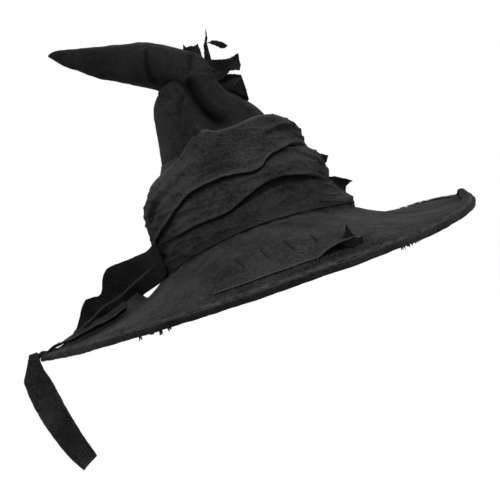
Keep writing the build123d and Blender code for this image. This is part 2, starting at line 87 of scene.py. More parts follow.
# nearest distance from a point to a line of points, signed: positive on its left side,
# with how far along the line it is, from 0 to 1
def besideLine(line, x, z):
    best = (1e9, 0.0, 0.0)
    for i in range(len(line) - 1):
        (x0, z0), (x1, z1) = line[i], line[i + 1]
        dx, dz = x1 - x0, z1 - z0
        t = min(max(((x - x0) * dx + (z - z0) * dz) / (dx * dx + dz * dz), 0.0), 1.0)
        ex, ez = x - x0 - t * dx, z - z0 - t * dz
        d = math.hypot(ex, ez)
        if d < best[0]:
            best = (d, dx * ez - dz * ex, (i + t) / (len(line) - 1))
    return math.copysign(best[0], best[1]), best[2]


# soft cloth unevenness: size is the length of a swell
def swell(x, y, z, size, seed=0.0):
    return noise.noise(Vector((x / size + seed, y / size - seed, z / size + 2 * seed)))


# a place at an angle in radians and a distance from the middle
def around(angle, reach):
    return reach * math.cos(angle), reach * math.sin(angle)


# A grid of cloth whose points are put where place(u, v) says; u runs across, v along. size
# is the cloth's real one, which the UV map carries for weave and thread. The thickness goes
# inwards at side -1, outwards at 1 and both ways at 0. edge is how pale the cloth is painted
# at a place: rubbed wear, and painted highlight along lit edges and crests. The last argument
# is painted shade: how dark the cloth is painted in hollows, folds and shadows.
def makeCloth(name, across, along, size, place, closed=False, edge=None, thick=0.0, side=-1.0,
              paintedShade=None):
    bm = bmesh.new()
    bmesh.ops.create_grid(bm, x_segments=across, y_segments=along, size=1.0)
    uvLayer = bm.loops.layers.uv.new("cloth")
    edgeLayer = bm.verts.layers.float.new("edge")
    paintedShadeLayer = bm.verts.layers.float.new("paintedShade")
    for face in bm.faces:
        for loop in face.loops:
            u, v = (loop.vert.co.x + 1) / 2, (loop.vert.co.y + 1) / 2
            loop[uvLayer].uv = (u * size[0] * mm, v * size[1] * mm)
    for vert in bm.verts:
        u, v = (vert.co.x + 1) / 2, (vert.co.y + 1) / 2
        vert[edgeLayer] = edge(u, v) if edge else 0.0
        vert[paintedShadeLayer] = paintedShade(u, v) if paintedShade else 0.0
        vert.co = Vector(place(u, v)) * mm
    if closed:
        bmesh.ops.remove_doubles(bm, verts=bm.verts, dist=0.00002)
    bmesh.ops.recalc_face_normals(bm, faces=bm.faces)
    return meshPiece(name, bm, thick, side)


# turns a bmesh into an object at the origin, smooth, with a wall if it has a thickness
def meshPiece(name, bm, thick=0.0, side=-1.0):
    mesh = bpy.data.meshes.new(name)
    bm.to_mesh(mesh)
    bm.free()
    mesh.shade_smooth()
    piece = bpy.data.objects.new(name, mesh)
    scene.collection.objects.link(piece)
    if thick:
        wall = piece.modifiers.new("wall", "SOLIDIFY")
        wall.thickness = thick * mm
        wall.offset = side
    return piece


# a closed grid may come out of recalc facing inwards; this turns it by one known point
def faceAwayFrom(piece, inside):
    mesh = piece.data
    centre = Vector(inside) * mm
    score = sum((p.center - centre).dot(p.normal) * p.area for p in mesh.polygons)
    if score < 0:
        mesh.flip_normals()


# gives a piece its material, the body it rides on and the nodes it stands for; its slot name is not
# used
def dress(piece, material, slotName, body, *nodes):
    piece.data.materials.clear()
    piece.data.materials.append(material)
    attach(piece, body)
    if nodes:
        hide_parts(*nodes)


# a written colour such as "#1b1b1c" as the shader's linear one
def linear(hexColour):
    channels = [int(hexColour[i:i + 2], 16) / 255 for i in (1, 3, 5)]
    return [c / 12.92 if c <= 0.04045 else ((c + 0.055) / 1.055) ** 2.4
            for c in channels] + [1.0]


# settings go to the node's own fields or to its sockets, links join other nodes' outputs
def addNode(tree, kind, settings=None, links=None):
    node = tree.nodes.new("ShaderNode" + kind)
    for key, value in (settings or {}).items():
        if isinstance(key, str) and hasattr(node, key):
            setattr(node, key, value)
        else:
            node.inputs[key].default_value = value
    for key, source in (links or {}).items():
        tree.links.new(source, node.inputs[key])
    return node


# a new material with an empty node tree
def newTree(name):
    material = bpy.data.materials.new(name)
    material.use_nodes = True
    material.node_tree.nodes.clear()
    return material, material.node_tree


suede = {
    "blotch": 35.0,          # soft clouds of rubbed and unrubbed nap
    "speck": 2.8,            # tufts of nap
    "stroke": (5.5, 2.2),    # fibres brushed one way: along, across
    "thread": 1.6,           # a real thread is about 0.4; drawn coarser so that it shows
    "bump": 1.6,             # how deep all of it is
    "hollow": "#070708",     # painted shade: the colour where the cloth lies deep in a fold or in a shadow
    "bloom": "#8c8c8e",      # the nap's sheen at a low angle
}


# Brushed polyester suede cloth: a short nap over a plain weave, with soft blotches in the nap,
# and the weave shows through as fine grain. The nap is painted pale where the edge value says,
# for rubbed wear and as painted highlight along lit edges and crests, and painted towards the
# shade colour where the darkness value says, as painted shade.
def suedeCloth(name, dark, light, wearAndHighlightColour, sheen):
    material, tree = newTree(name)
    place = addNode(tree, "TexCoord")
    uv = addNode(tree, "UVMap", {"uv_map": "cloth"})
    edge = addNode(tree, "Attribute", {"attribute_name": "edge"})
    paintedShade = addNode(tree, "Attribute", {"attribute_name": "paintedShade"})
    blotch, speck = [
        addNode(tree, "TexNoise",
                {"Scale": 1 / (suede[size] * mm), "Detail": 4.0, "Roughness": roughness},
                {"Vector": place.outputs["Object"]})
        for size, roughness in (("blotch", 0.6), ("speck", 0.8))]
    along, across = suede["stroke"]
    stroke = addNode(tree, "Mapping", {"vector_type": "POINT"},
                     {"Vector": uv.outputs["UV"]})
    stroke.inputs["Scale"].default_value = (1 / (along * mm), 1 / (across * mm), 1.0)
    fibre = addNode(tree, "TexNoise", {"Scale": 1.0, "Detail": 3.0, "Roughness": 0.6},
                    {"Vector": stroke.outputs["Vector"]})
    warp, weft = [
        addNode(tree, "TexWave",
                {"wave_type": "BANDS", "bands_direction": direction, "wave_profile": "SIN",
                 "Scale": math.tau / 20 / (suede["thread"] * mm), "Distortion": 1.2,
                 "Detail": 1.0},
                {"Vector": uv.outputs["UV"]})
        for direction in ("X", "Y")]
    grain = addNode(tree, "Math", {"operation": "MULTIPLY"},
                    {0: warp.outputs["Fac"], 1: weft.outputs["Fac"]})
    nap = addNode(tree, "Math", {"operation": "MULTIPLY_ADD", 1: 1.1},
                  {0: speck.outputs["Fac"], 2: blotch.outputs["Fac"]})
    mix = addNode(tree, "Math", {"operation": "MULTIPLY_ADD", 1: 0.4},
                  {0: fibre.outputs["Fac"], 2: nap.outputs["Value"]})
    spread = addNode(tree, "MapRange", {"From Min": 1.07, "From Max": 1.43},
                     {"Value": mix.outputs["Value"]})
    ramp = addNode(tree, "ValToRGB", links={"Fac": spread.outputs["Result"]})
    ramp.color_ramp.elements[0].color = linear(dark)
    ramp.color_ramp.elements[1].color = linear(light)
    # pale by the edge value: rubbed wear, and painted highlight along lit edges and crests
    wearAndHighlight = addNode(tree, "Math", {"operation": "MULTIPLY", "use_clamp": True},
                     {0: edge.outputs["Fac"], 1: speck.outputs["Fac"]})
    colour = addNode(tree, "Mix", {"data_type": "RGBA"},
                     {0: wearAndHighlight.outputs["Value"], 6: ramp.outputs["Color"]})
    colour.inputs[7].default_value = linear(wearAndHighlightColour)
    # painted shade: the colour is drawn towards the shade colour where the cloth's darkness value
    # says
    hollow = addNode(tree, "Mix", {"data_type": "RGBA"},
                     {0: paintedShade.outputs["Fac"], 6: colour.outputs[2]})
    hollow.inputs[7].default_value = linear(suede["hollow"])
    height = addNode(tree, "Math", {"operation": "MULTIPLY_ADD", 1: 0.6},
                     {0: fibre.outputs["Fac"], 2: speck.outputs["Fac"]})
    full = addNode(tree, "Math", {"operation": "MULTIPLY_ADD", 1: 0.4},
                   {0: grain.outputs["Value"], 2: height.outputs["Value"]})
    bump = addNode(tree, "Bump", {"Strength": 0.7, "Distance": suede["bump"] * mm},
                   {"Height": full.outputs["Value"]})
    shader = addNode(tree, "BsdfPrincipled",
                     {"Roughness": 0.92, "Specular IOR Level": 0.12, "Sheen Weight": sheen,
                      "Sheen Roughness": 0.55},
                     {"Base Color": hollow.outputs[2], "Normal": bump.outputs["Normal"]})
    shader.inputs["Sheen Tint"].default_value = linear(suede["bloom"])
    addNode(tree, "OutputMaterial", links={"Surface": shader.outputs["BSDF"]})
    return material


# One colour with a fine grain, darker in its pits and paler on its crowns, so that satin,
# ribbon, thread and wire don't look moulded. grainMm is the size of a grain.
def plainFinish(name, colour, roughness, metallic, grainMm, strength, sheen=0.0):
    material, tree = newTree(name)
    place = addNode(tree, "TexCoord")
    grain = addNode(tree, "TexNoise",
                    {"Scale": 1 / (grainMm * mm), "Detail": 3.0},
                    {"Vector": place.outputs["Object"]})
    shade = addNode(tree, "ValToRGB", links={"Fac": grain.outputs["Fac"]})
    base = linear(colour)
    shade.color_ramp.elements[0].position = 0.3
    shade.color_ramp.elements[0].color = [c * 0.7 for c in base[:3]] + [1.0]
    shade.color_ramp.elements[1].position = 0.75
    shade.color_ramp.elements[1].color = [min(c * 1.25, 1.0) for c in base[:3]] + [1.0]
    bump = addNode(tree, "Bump", {"Strength": strength, "Distance": 0.4 * mm},
                   {"Height": grain.outputs["Fac"]})
    shader = addNode(tree, "BsdfPrincipled",
                     {"Roughness": roughness, "Metallic": metallic, "Sheen Weight": sheen},
                     {"Base Color": shade.outputs["Color"], "Normal": bump.outputs["Normal"]})
    addNode(tree, "OutputMaterial", links={"Surface": shader.outputs["BSDF"]})
    return material


# stretched flat and brushed: a dull black with grey clouds, almost no bloom
brimSuede = suedeCloth("brim black brushed suede", "#1b1b1c", "#3f3f40", "#66666a", 0.02)
# the same cloth gathered by hand: its lifted nap gives the folds a pale bloom
scarfSuede = suedeCloth("scarf black brushed suede", "#1d1d1e", "#404041", "#6e6e71", 0.09)
# shaped over the wire: a deeper, more even black than the brim
tipSuede = suedeCloth("tip black brushed suede", "#181819", "#343435", "#58585a", 0.05)
# napped on one face: a little darker than the suede, so that the sash reads as other cloth
sashCloth = suedeCloth("sash black napped cotton", "#1a1a1b", "#363637", "#58585a", 0.05)
# the same cotton painted nearly black, a painted shade, for the sash end that stands in shadow;
# pale only along its folded ledge, a painted highlight
shadedSashCloth = suedeCloth("sash end black napped cotton in painted shade", "#0f0f10", "#1f1f20", "#58585a", 0.02)
# torn by hand: dark, with a pale line of broken threads along the tear
ragCloth = suedeCloth("torn black cotton rag", "#131314", "#292a2b", "#4a4a4c", 0.03)
# close woven: a soft gloss on the pleats inside the crown
liningSatin = plainFinish("black satin lining", "#1d1d1f", 0.5, 0.0, 2.0, 0.1, 0.05)
# woven over thick cross threads: dull and rough beside the satin
bandRibbon = plainFinish("black ribbed grosgrain ribbon", "#1b1b1d", 0.65, 0.0, 1.2, 0.3)
# drawn through a die: bright, with fine scuffs
springSteel = plainFinish("drawn spring steel", "#b9babd", 0.32, 1.0, 0.6, 0.1)
# twisted hard: smoother than the napped cloth, so that single stitches show
threadCotton = plainFinish("black cotton thread", "#242425", 0.8, 0.0, 0.5, 0.3, 0.05)
print("materials made")

brim = {
    "foot": 95.0,            # radius where the crown meets it
    "rim": 200.0,            # round part
    "pointReach": 221.0,     # centre of the point's rounding, on the -X side
    "pointRound": 6.0,
    "seam": (5.5, -7.0),     # height at the crown: mean, and twice-round wave
    "edge": (-29.75, 0.5, 7.0, 1.25, 3.5),   # rim height: mean, cos, sin, cos2, sin2
    "inset": (0.4, 1.6),     # how far the cloth stops short: of the crown, of the rim
    "thick": 3.6,            # two cloths and the stiffener
    "hemThick": 0.5,
    "waviness": 1.1,
    "gathers": 31,           # small gathers at the crown's seam
    "ridge": [(-118, 22), (-128, 19), (-142, 15), (-165, 11), (-190, 7), (-208, 3)],
    "ridgeHeight": [(0, 2), (0.05, 9), (0.12, 13.5), (0.25, 14), (0.5, 12), (0.8, 8.5), (1, 3)],
    "ridgeWidth": 11.0,                       # the fold that the sash end stands on
    "rightDrop": (-44.0, 1.8, 20.0),          # where the right rim hangs, how much, how wide
    "crest": [(99, -6), (130, -14), (160, -12), (184, -6)],
    "crestHeight": 1.5,
    "knot": (-4.5, 9.5, 4.0),                 # where the hem is bunched, how wide, how high
    "knotBump": (188.0, -8.0, 10.0, 3.6),     # the brim pulled up inside it: place, width, height
}


# from the middle to the rim: a circle, drawn out to the rounded point by its tangents
def rimReach(angle):
    turn = abs(math.pi - angle % math.tau)
    tangent = math.acos((brim["rim"] - brim["pointRound"]) / brim["pointReach"])
    return brim["rim"] / math.cos(max(tangent - turn, 0.0))


# the brim's plain height between its seam at the crown and its wavy rim
def brimTop(x, y):
    angle = math.atan2(y, x)
    foot = brim["foot"]
    share = (max(math.hypot(x, y), 0.55 * foot) - foot) / (rimReach(angle) - foot)
    if share > 1:
        share = 1 + 0.3 * math.tanh((share - 1) / 0.3)
    if share < 0:
        share = 0.3 * math.tanh(share / 0.3)
    mean, cos1, sin1, cos2, sin2 = brim["edge"]
    seam = brim["seam"][0] + brim["seam"][1] * math.cos(2 * angle)
    rim = (mean + cos1 * math.cos(angle) + sin1 * math.sin(angle) + cos2 * math.cos(2 * angle)
           + sin2 * math.sin(2 * angle))
    alongSides = 1 - (1 - share) ** 3
    alongFront = 0.45 * share + 0.55 * share ** 3
    front = math.sin(angle) ** 2
    return seam + (rim - seam) * (front * alongFront + (1 - front) * alongSides)


# the brim's height with the cloth's own unevenness: gathers by the crown, slow waves out
def brimFace(x, y):
    reach = math.hypot(x, y)
    angle = math.atan2(y, x)
    out = min(max((reach - brim["foot"]) / 100, 0.0), 1.0)
    wave = brim["waviness"] * swell(x, y, 0, 48, 3.1) * ease(out * 3) * (1 - 0.5 * out)
    small = 0.4 * swell(x, y, 0, 14, 5.7) * ease(out * 2)
    gather = 0.6 * math.sin(angle * brim["gathers"] + 4 * swell(x, y, 0, 60, 1.3))
    gather *= hill(out, 0.13)
    beside, part = besideLine(brim["ridge"], x, y)
    behind = keyed(brim["ridgeHeight"], part) * hill(beside, brim["ridgeWidth"])
    bumpX, bumpY, wide, high = brim["knotBump"]
    behind += high * hill(math.hypot(x - bumpX, y - bumpY), wide)
    at, drop, spread = brim["rightDrop"]
    hang = drop * hill(math.degrees(angle) - at, spread) * ease((out - 0.25) * 1.3)
    ridge = brim["crestHeight"] * hill(besideLine(brim["crest"], x, y)[0], 4.0)
    return brimTop(x, y) + wave + small + gather + behind - hang + ridge


# the grid of the brim runs once round and from the crown out to the rim
def brimPlace(u, v):
    angle = math.radians(90 + 360 * u)
    crownGap, rimGap = brim["inset"]
    start = brim["foot"] + crownGap
    reach = start + v * (rimReach(angle) - rimGap - start)
    x, y = around(angle, reach)
    return x, y, brimFace(x, y)


# painted highlight: the crest on the right is painted pale
def brimCrestHighlight(u, v):
    x, y, _ = brimPlace(u, v)
    return 0.8 * hill(besideLine(brim["crest"], x, y)[0], 1.6)


# painted shade: dark beside the crest and towards the right end, along the crown's seam, under
# the loose end of the strip and in front of the sash end
def brimPaintedShade(u, v):
    x, y, _ = brimPlace(u, v)
    reach, angle = math.hypot(x, y), math.degrees(math.atan2(y, x))
    beside, part = besideLine(brim["crest"], x, y)
    dark = 0.3 * hill(beside - 7, 6) * ease(part * 4) if x > 95 else 0.0
    dark = max(dark, 0.45 * ease((x - 100) / 40), 0.75 * hill(reach - brim["foot"] - 2.2, 1.2))
    underEnd = ease((angle + 81) / 4) * ease((-66 - angle) / 3)
    dark = max(dark, 0.6 * ease((reach - 182) / 6) * underEnd)
    if x < -125 and y < 20:
        beside = abs(besideLine(brim["ridge"], x, y)[0])
        dark = max(dark, 0.85 * hill(beside - 15.5, 3.6) * ease((-125 - x) / 25))
    return dark


brimCloth = makeCloth("brimCloth", 420, 64, (930, 105), brimPlace, closed=True, edge=brimCrestHighlight,
                      thick=brim["thick"], paintedShade=brimPaintedShade)
faceAwayFrom(brimCloth, (0, 0, -900))

# The hem: cloth folded round the rim, a soft roll in section, with a turned-under edge.
# Each point is a distance in from the rim and a height.
hemSection = [(10.0, 0.4), (9.6, 1.2), (7.8, 1.5), (5.2, 1.3), (2.8, 0.5), (1.0, -1.1),
              (0.0, -3.2), (0.2, -5.2), (1.4, -6.6), (4.0, -6.8), (8.0, -5.4), (10.0, -4.2)]


def hemPlace(u, v):
    angle = math.radians(90 + 360 * u)
    at = v * (len(hemSection) - 1)
    inward = keyed([(i, p[0]) for i, p in enumerate(hemSection)], at)
    lift = keyed([(i, p[1]) for i, p in enumerate(hemSection)], at)
    edge = rimReach(angle)
    x, y = around(angle, edge - inward)
    base = brimFace(x, y)
    pucker = 0.45 * math.sin(u * 360 * 1.9) * hill(inward - 8.0, 2.5)
    rough = 0.8 * swell(x, y, lift, 6, 2.2) + 0.7 * swell(x, y, lift, 22, 8.4)
    # the knot at the blunt end: the hem is bunched up and rolled in
    where, wide, high = brim["knot"]
    turn = (math.degrees(angle) - where + 180) % 360 - 180
    knot = hill(turn, wide)
    if lift < -1:
        lift *= 1 - 0.35 * hill(math.degrees(angle) % 360 - 180, 11)   # thin at the point
        lift *= 1 - 0.45 * hill(turn - 1, 9)
    lift += knot * (high + 3 * swell(x, y, 0, 5, 4.1)) * ease((lift + 3.5) / 4)
    push = (rough * 0.9 - 2.5 * knot * hill(lift - 3, 3)) / edge
    return x * (1 + push), y * (1 + push), base + lift + rough * 0.5 + pucker


# pale along the seam with the brim and along the rolled edge: painted highlight and rubbed wear
def hemEdge(u, v):
    return 0.9 * hill(v - 0.02, 0.05) + 0.9 * hill(v - 0.40, 0.035)


# painted shade: the rolled face of the hem is darker along the front, where it faces down, and
# its top under the loose end
def hemPaintedShade(u, v):
    angle = (90 + 360 * u) % 360
    front = 0.75 * hill(angle - 256, 52) * ease((v - 0.41) * 12)
    underEnd = ease((angle - 279) / 4) * ease((294 - angle) / 3)
    return max(front, 0.6 * underEnd * ease((0.36 - v) * 9))


hem = makeCloth("brimHem", 720, 30, (1260, 30), hemPlace, closed=True, edge=hemEdge,
                thick=brim["hemThick"], paintedShade=hemPaintedShade)
faceAwayFrom(hem, (0, 0, -30))


# the corners of the flat spring wire's section: distance in from the rim, height, and which
# way a wall round it grows at that corner
wireSection = [(2.8, -1.8, 1, 1), (4.6, -1.8, -1, 1), (4.6, -3.0, -1, -1), (2.8, -3.0, 1, -1),
               (2.8, -1.8, 1, 1)]


# the wire inside the hem, its two ends meeting at the back in a crimped sleeve
def flatLoop(start, sweep, wall):
    def place(u, v):
        angle = math.radians(start + sweep * u)
        inward, lift, outwards, upwards = wireSection[round(v * 4)]
        edge = rimReach(angle) - inward + wall * outwards
        x, y = around(angle, edge)
        return x, y, brimFace(x, y) + lift + wall * upwards

    return place


rimWire = makeCloth("rimWire", 300, 4, (1250, 7), flatLoop(90.15, 359.7, 0.0), closed=True)
wireSleeve = makeCloth("wireSleeve", 12, 4, (12, 9), flatLoop(88.2, 3.6, 0.5), closed=True)


# a short thread laid from one point to another, standing proud in the middle
def threadPiece(bm, start, end, radius, lift, sides=5, parts=4):
    start, end = Vector(start) * mm, Vector(end) * mm
    way = (end - start).normalized()
    rings = []
    for i in range(parts + 1):
        t = i / parts
        size = radius * mm * (0.45 + 0.55 * math.sin(math.pi * min(max(t, 0.08), 0.92)))
        middle = start.lerp(end, t) + Vector(lift) * mm * math.sin(math.pi * t)
        turn = way.to_track_quat("Z", "X").to_matrix().to_4x4()
        ring = bmesh.ops.create_circle(bm, cap_ends=i in (0, parts), segments=sides,
                                       radius=size, matrix=Matrix.Translation(middle) @ turn)
        rings.append([e for v in ring["verts"] for e in v.link_edges])
    for near, beyond in zip(rings, rings[1:]):
        bmesh.ops.bridge_loops(bm, edges=[e for e in {*near, *beyond} if e.is_valid])


print("brim made")

# Every layer round the crown is a strip between a lower and an upper edge. Its distance
# from the middle is a blend of four outlines, given as (height, distance).
sashFace = [(0, 96.6), (12, 96.6), (20, 92.8), (30, 88.0), (40, 84.0), (60, 79.0)]
sash = {
    "lower": [(0, 2), (30, 3.5), (60, 8), (90, 12), (120, 8), (150, 3.5), (180, 0), (204, 1),
              (234, 8.3), (253, 12), (270, 13.6), (284, 12.6), (300, 10), (330, 4.5)],
    "upper": [(0, 42), (90, 52), (180, 38), (223, 40), (259, 43), (272, 50), (294, 56),
              (330, 46)],
    "left": [(-6, 95.8), (4, 96.2), (12, 95.6), (20, 93.4), (30, 91.0), (50, 89.0)],
    "right": [(-6, 96.2), (4, 96.8), (10, 95.8), (16, 91.0), (24, 86.5), (34, 82.0), (50, 79.0)],
    "front": sashFace, "back": sashFace,
}
lowFace = [(30, 90.5), (40, 90.0), (50, 88.2), (58, 85.5), (66, 81.0), (78, 74.0)]
scarfLow = {
    "lower": [(0, 32), (45, 37), (90, 43), (135, 36), (180, 28), (193, 28.5), (223, 30.3),
              (240, 32.7), (259, 33.3), (272, 39.8), (284, 45.5), (294, 46.6), (304, 44.1),
              (317, 38.9), (336, 32)],
    "upper": [(0, 76), (30, 72), (60, 62), (90, 58), (120, 52), (150, 46), (180, 44), (218, 52),
              (242, 68), (265, 71), (282, 67), (308, 78), (338, 78)],
    "left": [(26, 89.0), (34, 90.0), (45, 88.5), (60, 86.0)],
    "right": [(28, 79.0), (34, 81.0), (42, 83.8), (50, 84.6), (57, 82.5), (64, 76.5), (70, 71.5),
              (80, 66.0)],
    "front": lowFace, "back": lowFace,
}
scarfHigh = {
    "lower": [(0, 68), (30, 62), (60, 54), (90, 50), (120, 44), (150, 36), (180, 30), (199, 33.2),
              (218, 43.1), (233, 54.9), (242.5, 61.1), (255, 63.1), (265, 63.4), (272, 61.6),
              (282, 58.8), (287, 60.8), (294, 66.7), (308, 70.1), (319, 71.7), (338, 69.2)],
    "upper": [(0, 88), (20, 92), (60, 96), (90, 97), (130, 94), (160, 90), (182, 89.8), (215, 91.3),
              (229, 96.2), (240, 107.2), (250, 111.5), (261, 110.3), (268, 106.4), (286, 104.7),
              (311, 106.9), (336, 102.9)],
    "left": [(28, 91.5), (40, 93.2), (52, 92.2), (63, 91.0), (68, 88.0), (78, 79.0), (84, 72.5),
             (90, 63.5), (96, 57.5), (112, 52.0)],
    "right": [(66, 70.5), (72, 72.0), (80, 73.6), (88, 72.6), (95, 69.5), (101, 65.5), (106, 60.0),
              (110, 52.0)],
    "front": [(50, 89.5), (60, 88.6), (66, 86.8), (76, 80.5), (88, 72.5), (98, 64.5), (105, 58.0),
              (112, 51.5)],
    "back": [(40, 92.0), (50, 90.0), (60, 87.5), (70, 83.0), (82, 75.0), (92, 66.5), (100, 58.0),
             (112, 51.5)],
}


def outlineRadius(layer, angle, height):
    c, s = math.cos(math.radians(angle)), math.sin(math.radians(angle))
    side = keyed(layer["right" if c > 0 else "left"], height)
    other = keyed(layer["back" if s > 0 else "front"], height)
    return side * c * c + other * s * s


# A strip of cloth wound round the crown. A crease is a line of (angle, height), its depth and
# its width; roll is how far the lower edge stands out, ragged how uneven it is.
def makeTier(name, layer, along, creases, roll, seed, thick, ragged, gatherTop=0.0, above=None):
    def place(u, v):
        angle = 90 + 360 * u
        low = keyed(layer["lower"], angle, 360.0)
        high = keyed(layer["upper"], angle, 360.0)
        low += ragged * (swell(angle, 0, 0, 5.0, seed) + 0.6 * swell(angle, 0, 0, 1.7, seed))
        height = low + (high - low) * v
        radius = outlineRadius(layer, angle % 360, height)
        arc = math.radians(angle) * 80
        lean = 0.22 * arc
        folds = 1.6 * swell(arc, (height + lean) * 3.2, 0, 62, seed)
        folds += 0.8 * swell(arc, (height - 0.4 * lean) * 2.4, 0, 26, seed + 4)
        wrinkle = abs(swell(arc, (height + 0.7 * lean) * 3.4, 0, 34, seed + 7))
        folds += 1.5 * hill(wrinkle, 0.1) - 0.5 + 0.3 * swell(arc, height, 0, 7, seed + 9)
        calm = ease((height - low) / 5) * 0.6 + 0.4
        radius += folds * calm
        for line, depth, width in creases:
            part = besideLine(line, angle % 360, height)[1]
            # a degree is about 1.4 mm of cloth
            beside = besideLine([(a * 1.4, h) for a, h in line], (angle % 360) * 1.4, height)[0]
            shape = hill(beside, width) - 0.6 * hill(beside - 1.6 * width, width)
            radius += depth * shape * ease(part * 4) * ease((1 - part) * 4)
        radius += roll * hill(height - low - 1.2, 2.2) - 0.8 * hill(height - low + 0.6, 1.0)
        radius -= gatherTop * hill(high - height, 2.2)
        return *around(math.radians(angle), radius), height

    # pale along both edges: painted highlight and rubbed wear
    def edge(u, v):
        return 0.9 * hill(v, 0.04) + 0.9 * hill(1 - v, 0.04)

    # painted shade: dark just under the next tier's edge, on the sash beside its end, and low on
    # the upper scarf's left
    def paintedShade(u, v):
        angle = (90 + 360 * u) % 360
        height = place(u, v)[2]
        dark = 0.0
        if above:
            dark = 0.85 * hill(height - keyed(above["lower"], angle, 360.0) + 1.0, 1.5)
        if layer is sash:
            dark = max(dark, 0.9 * hill(min(angle - 203, 0) + max(angle - 207, 0), 4.0))
        if layer is scarfHigh:
            dark = max(dark, 0.4 * hill(angle - 192, 22) * ease((88 - height) / 20))
        return dark

    piece = makeCloth(name, 420, along, (540, along * 1.5), place, closed=True, edge=edge,
                      thick=thick, paintedShade=paintedShade)
    faceAwayFrom(piece, (0, 0, 50))
    return piece


sashBand = makeTier("sashBand", sash, 34,
                    [([(250, 18), (275, 22), (300, 20), (330, 24)], -1.0, 3.0),
                     ([(190, 20), (215, 14), (240, 18)], -1.2, 3.0)],
                    roll=0.0, seed=11.0, thick=1.1, ragged=0.0, above=scarfLow)
lowScarf = makeTier("lowerScarf", scarfLow, 34,
                    [([(300, 70), (318, 62), (333, 50), (345, 40)], -2.0, 3.0),
                     ([(205, 36), (230, 44), (262, 50)], -1.1, 3.5)],
                    roll=1.3, seed=23.0, thick=1.4, ragged=0.7, above=scarfHigh)
highScarf = makeTier("upperScarf", scarfHigh, 44,
                     [([(196, 45), (212, 62), (236, 76), (252, 82)], -3.0, 4.0),
                      ([(296, 84), (312, 87), (335, 86), (350, 84)], -2.6, 3.0),
                      ([(255, 96), (275, 88), (290, 90)], -1.2, 4.0),
                      ([(60, 70), (90, 76), (130, 70)], -2.4, 4.0)],
                     roll=1.5, seed=37.0, thick=1.4, ragged=0.8, gatherTop=1.5)
print("crown tiers made")

# Stations up the neck and out along the tip: the outline on the left or under side, the
# outline on the right or upper side, and half the depth from front to back.
hornStations = [
    ((-59.6, 92), (55, 92), 57), ((-57.4, 105), (49.5, 105), 52),
    ((-54.8, 118), (42.6, 118), 46.5), ((-52.8, 130), (33, 130), 42),
    ((-50.6, 141), (23.6, 140), 37), ((-47, 150), (19, 150), 33),
    ((-42, 158), (17.2, 159), 30), ((-37.9, 162), (16.8, 167), 28.5),
    ((-38.9, 165.2), (15, 175), 27), ((-43.6, 168.6), (9.8, 183), 25.5),
    ((-49, 172.6), (0.5, 190), 24), ((-54.4, 176.4), (-10, 197), 22.5),
    ((-60.8, 180.6), (-20, 203.6), 21), ((-68.2, 185.2), (-31, 210.4), 19.6),
    ((-80.2, 192), (-47.5, 215.4), 17.2), ((-90.2, 199.4), (-66.5, 220.2), 14.6),
    ((-100.2, 207.4), (-86.5, 225.3), 11.4), ((-108.4, 214.2), (-100.6, 229.5), 8.0),
    ((-114.6, 220.8), (-110.6, 232.2), 5.3), ((-118.8, 226.4), (-116.6, 232.8), 2.9),
    ((-121.8, 230), (-121.2, 231.6), 0.9),
]
# the folds in it, each a line seen from the front; those named back are on the far side
horn = {
    "lobe": [(-38.6, 159), (-35.6, 162.4), (-31, 164.6), (-23.4, 165), (-17.4, 161.8),
             (-14, 155.2), (-13, 149.4), (-10, 140.4), (-6.6, 131), (-2.4, 117.4), (2, 107)],
    "valley": [(-6.6, 162.6), (-6, 149.4), (-5.2, 137), (-2, 124.2), (5, 114.6), (14, 109.6),
               (24, 106.6)],
    "panel": [(0.6, 162.6), (2, 147), (3.6, 134.6), (9, 123.4), (20, 116.6)],
    "panelTop": [(-3, 162), (7, 160.6), (16, 156.4)],
    "rightEdge": [(15, 166), (14.4, 156), (16, 145), (19.6, 136), (27.6, 126.4), (37, 116.4)],
    "hornFold": [(-32.6, 206.6), (-37.4, 190), (-39.2, 176.6), (-34.6, 166.8)],
    "bendFold": [(6, 185.6), (1, 176.4), (-3, 166.6)],
    "lobeFold": [(-14, 147), (-18.8, 141), (-24.6, 129.2), (-30.4, 113.6)],
    "lobeFold2": [(-39.4, 154.6), (-42.4, 137), (-45.4, 115.6)],
    "backFold": [(-30, 168), (-16, 160), (-4, 146), (8, 126), (16, 108)],
    "backFold2": [(-44, 150), (-36, 132), (-34, 112)],
    "backFold3": [(-36, 206), (-38, 190), (-34, 176)],
}
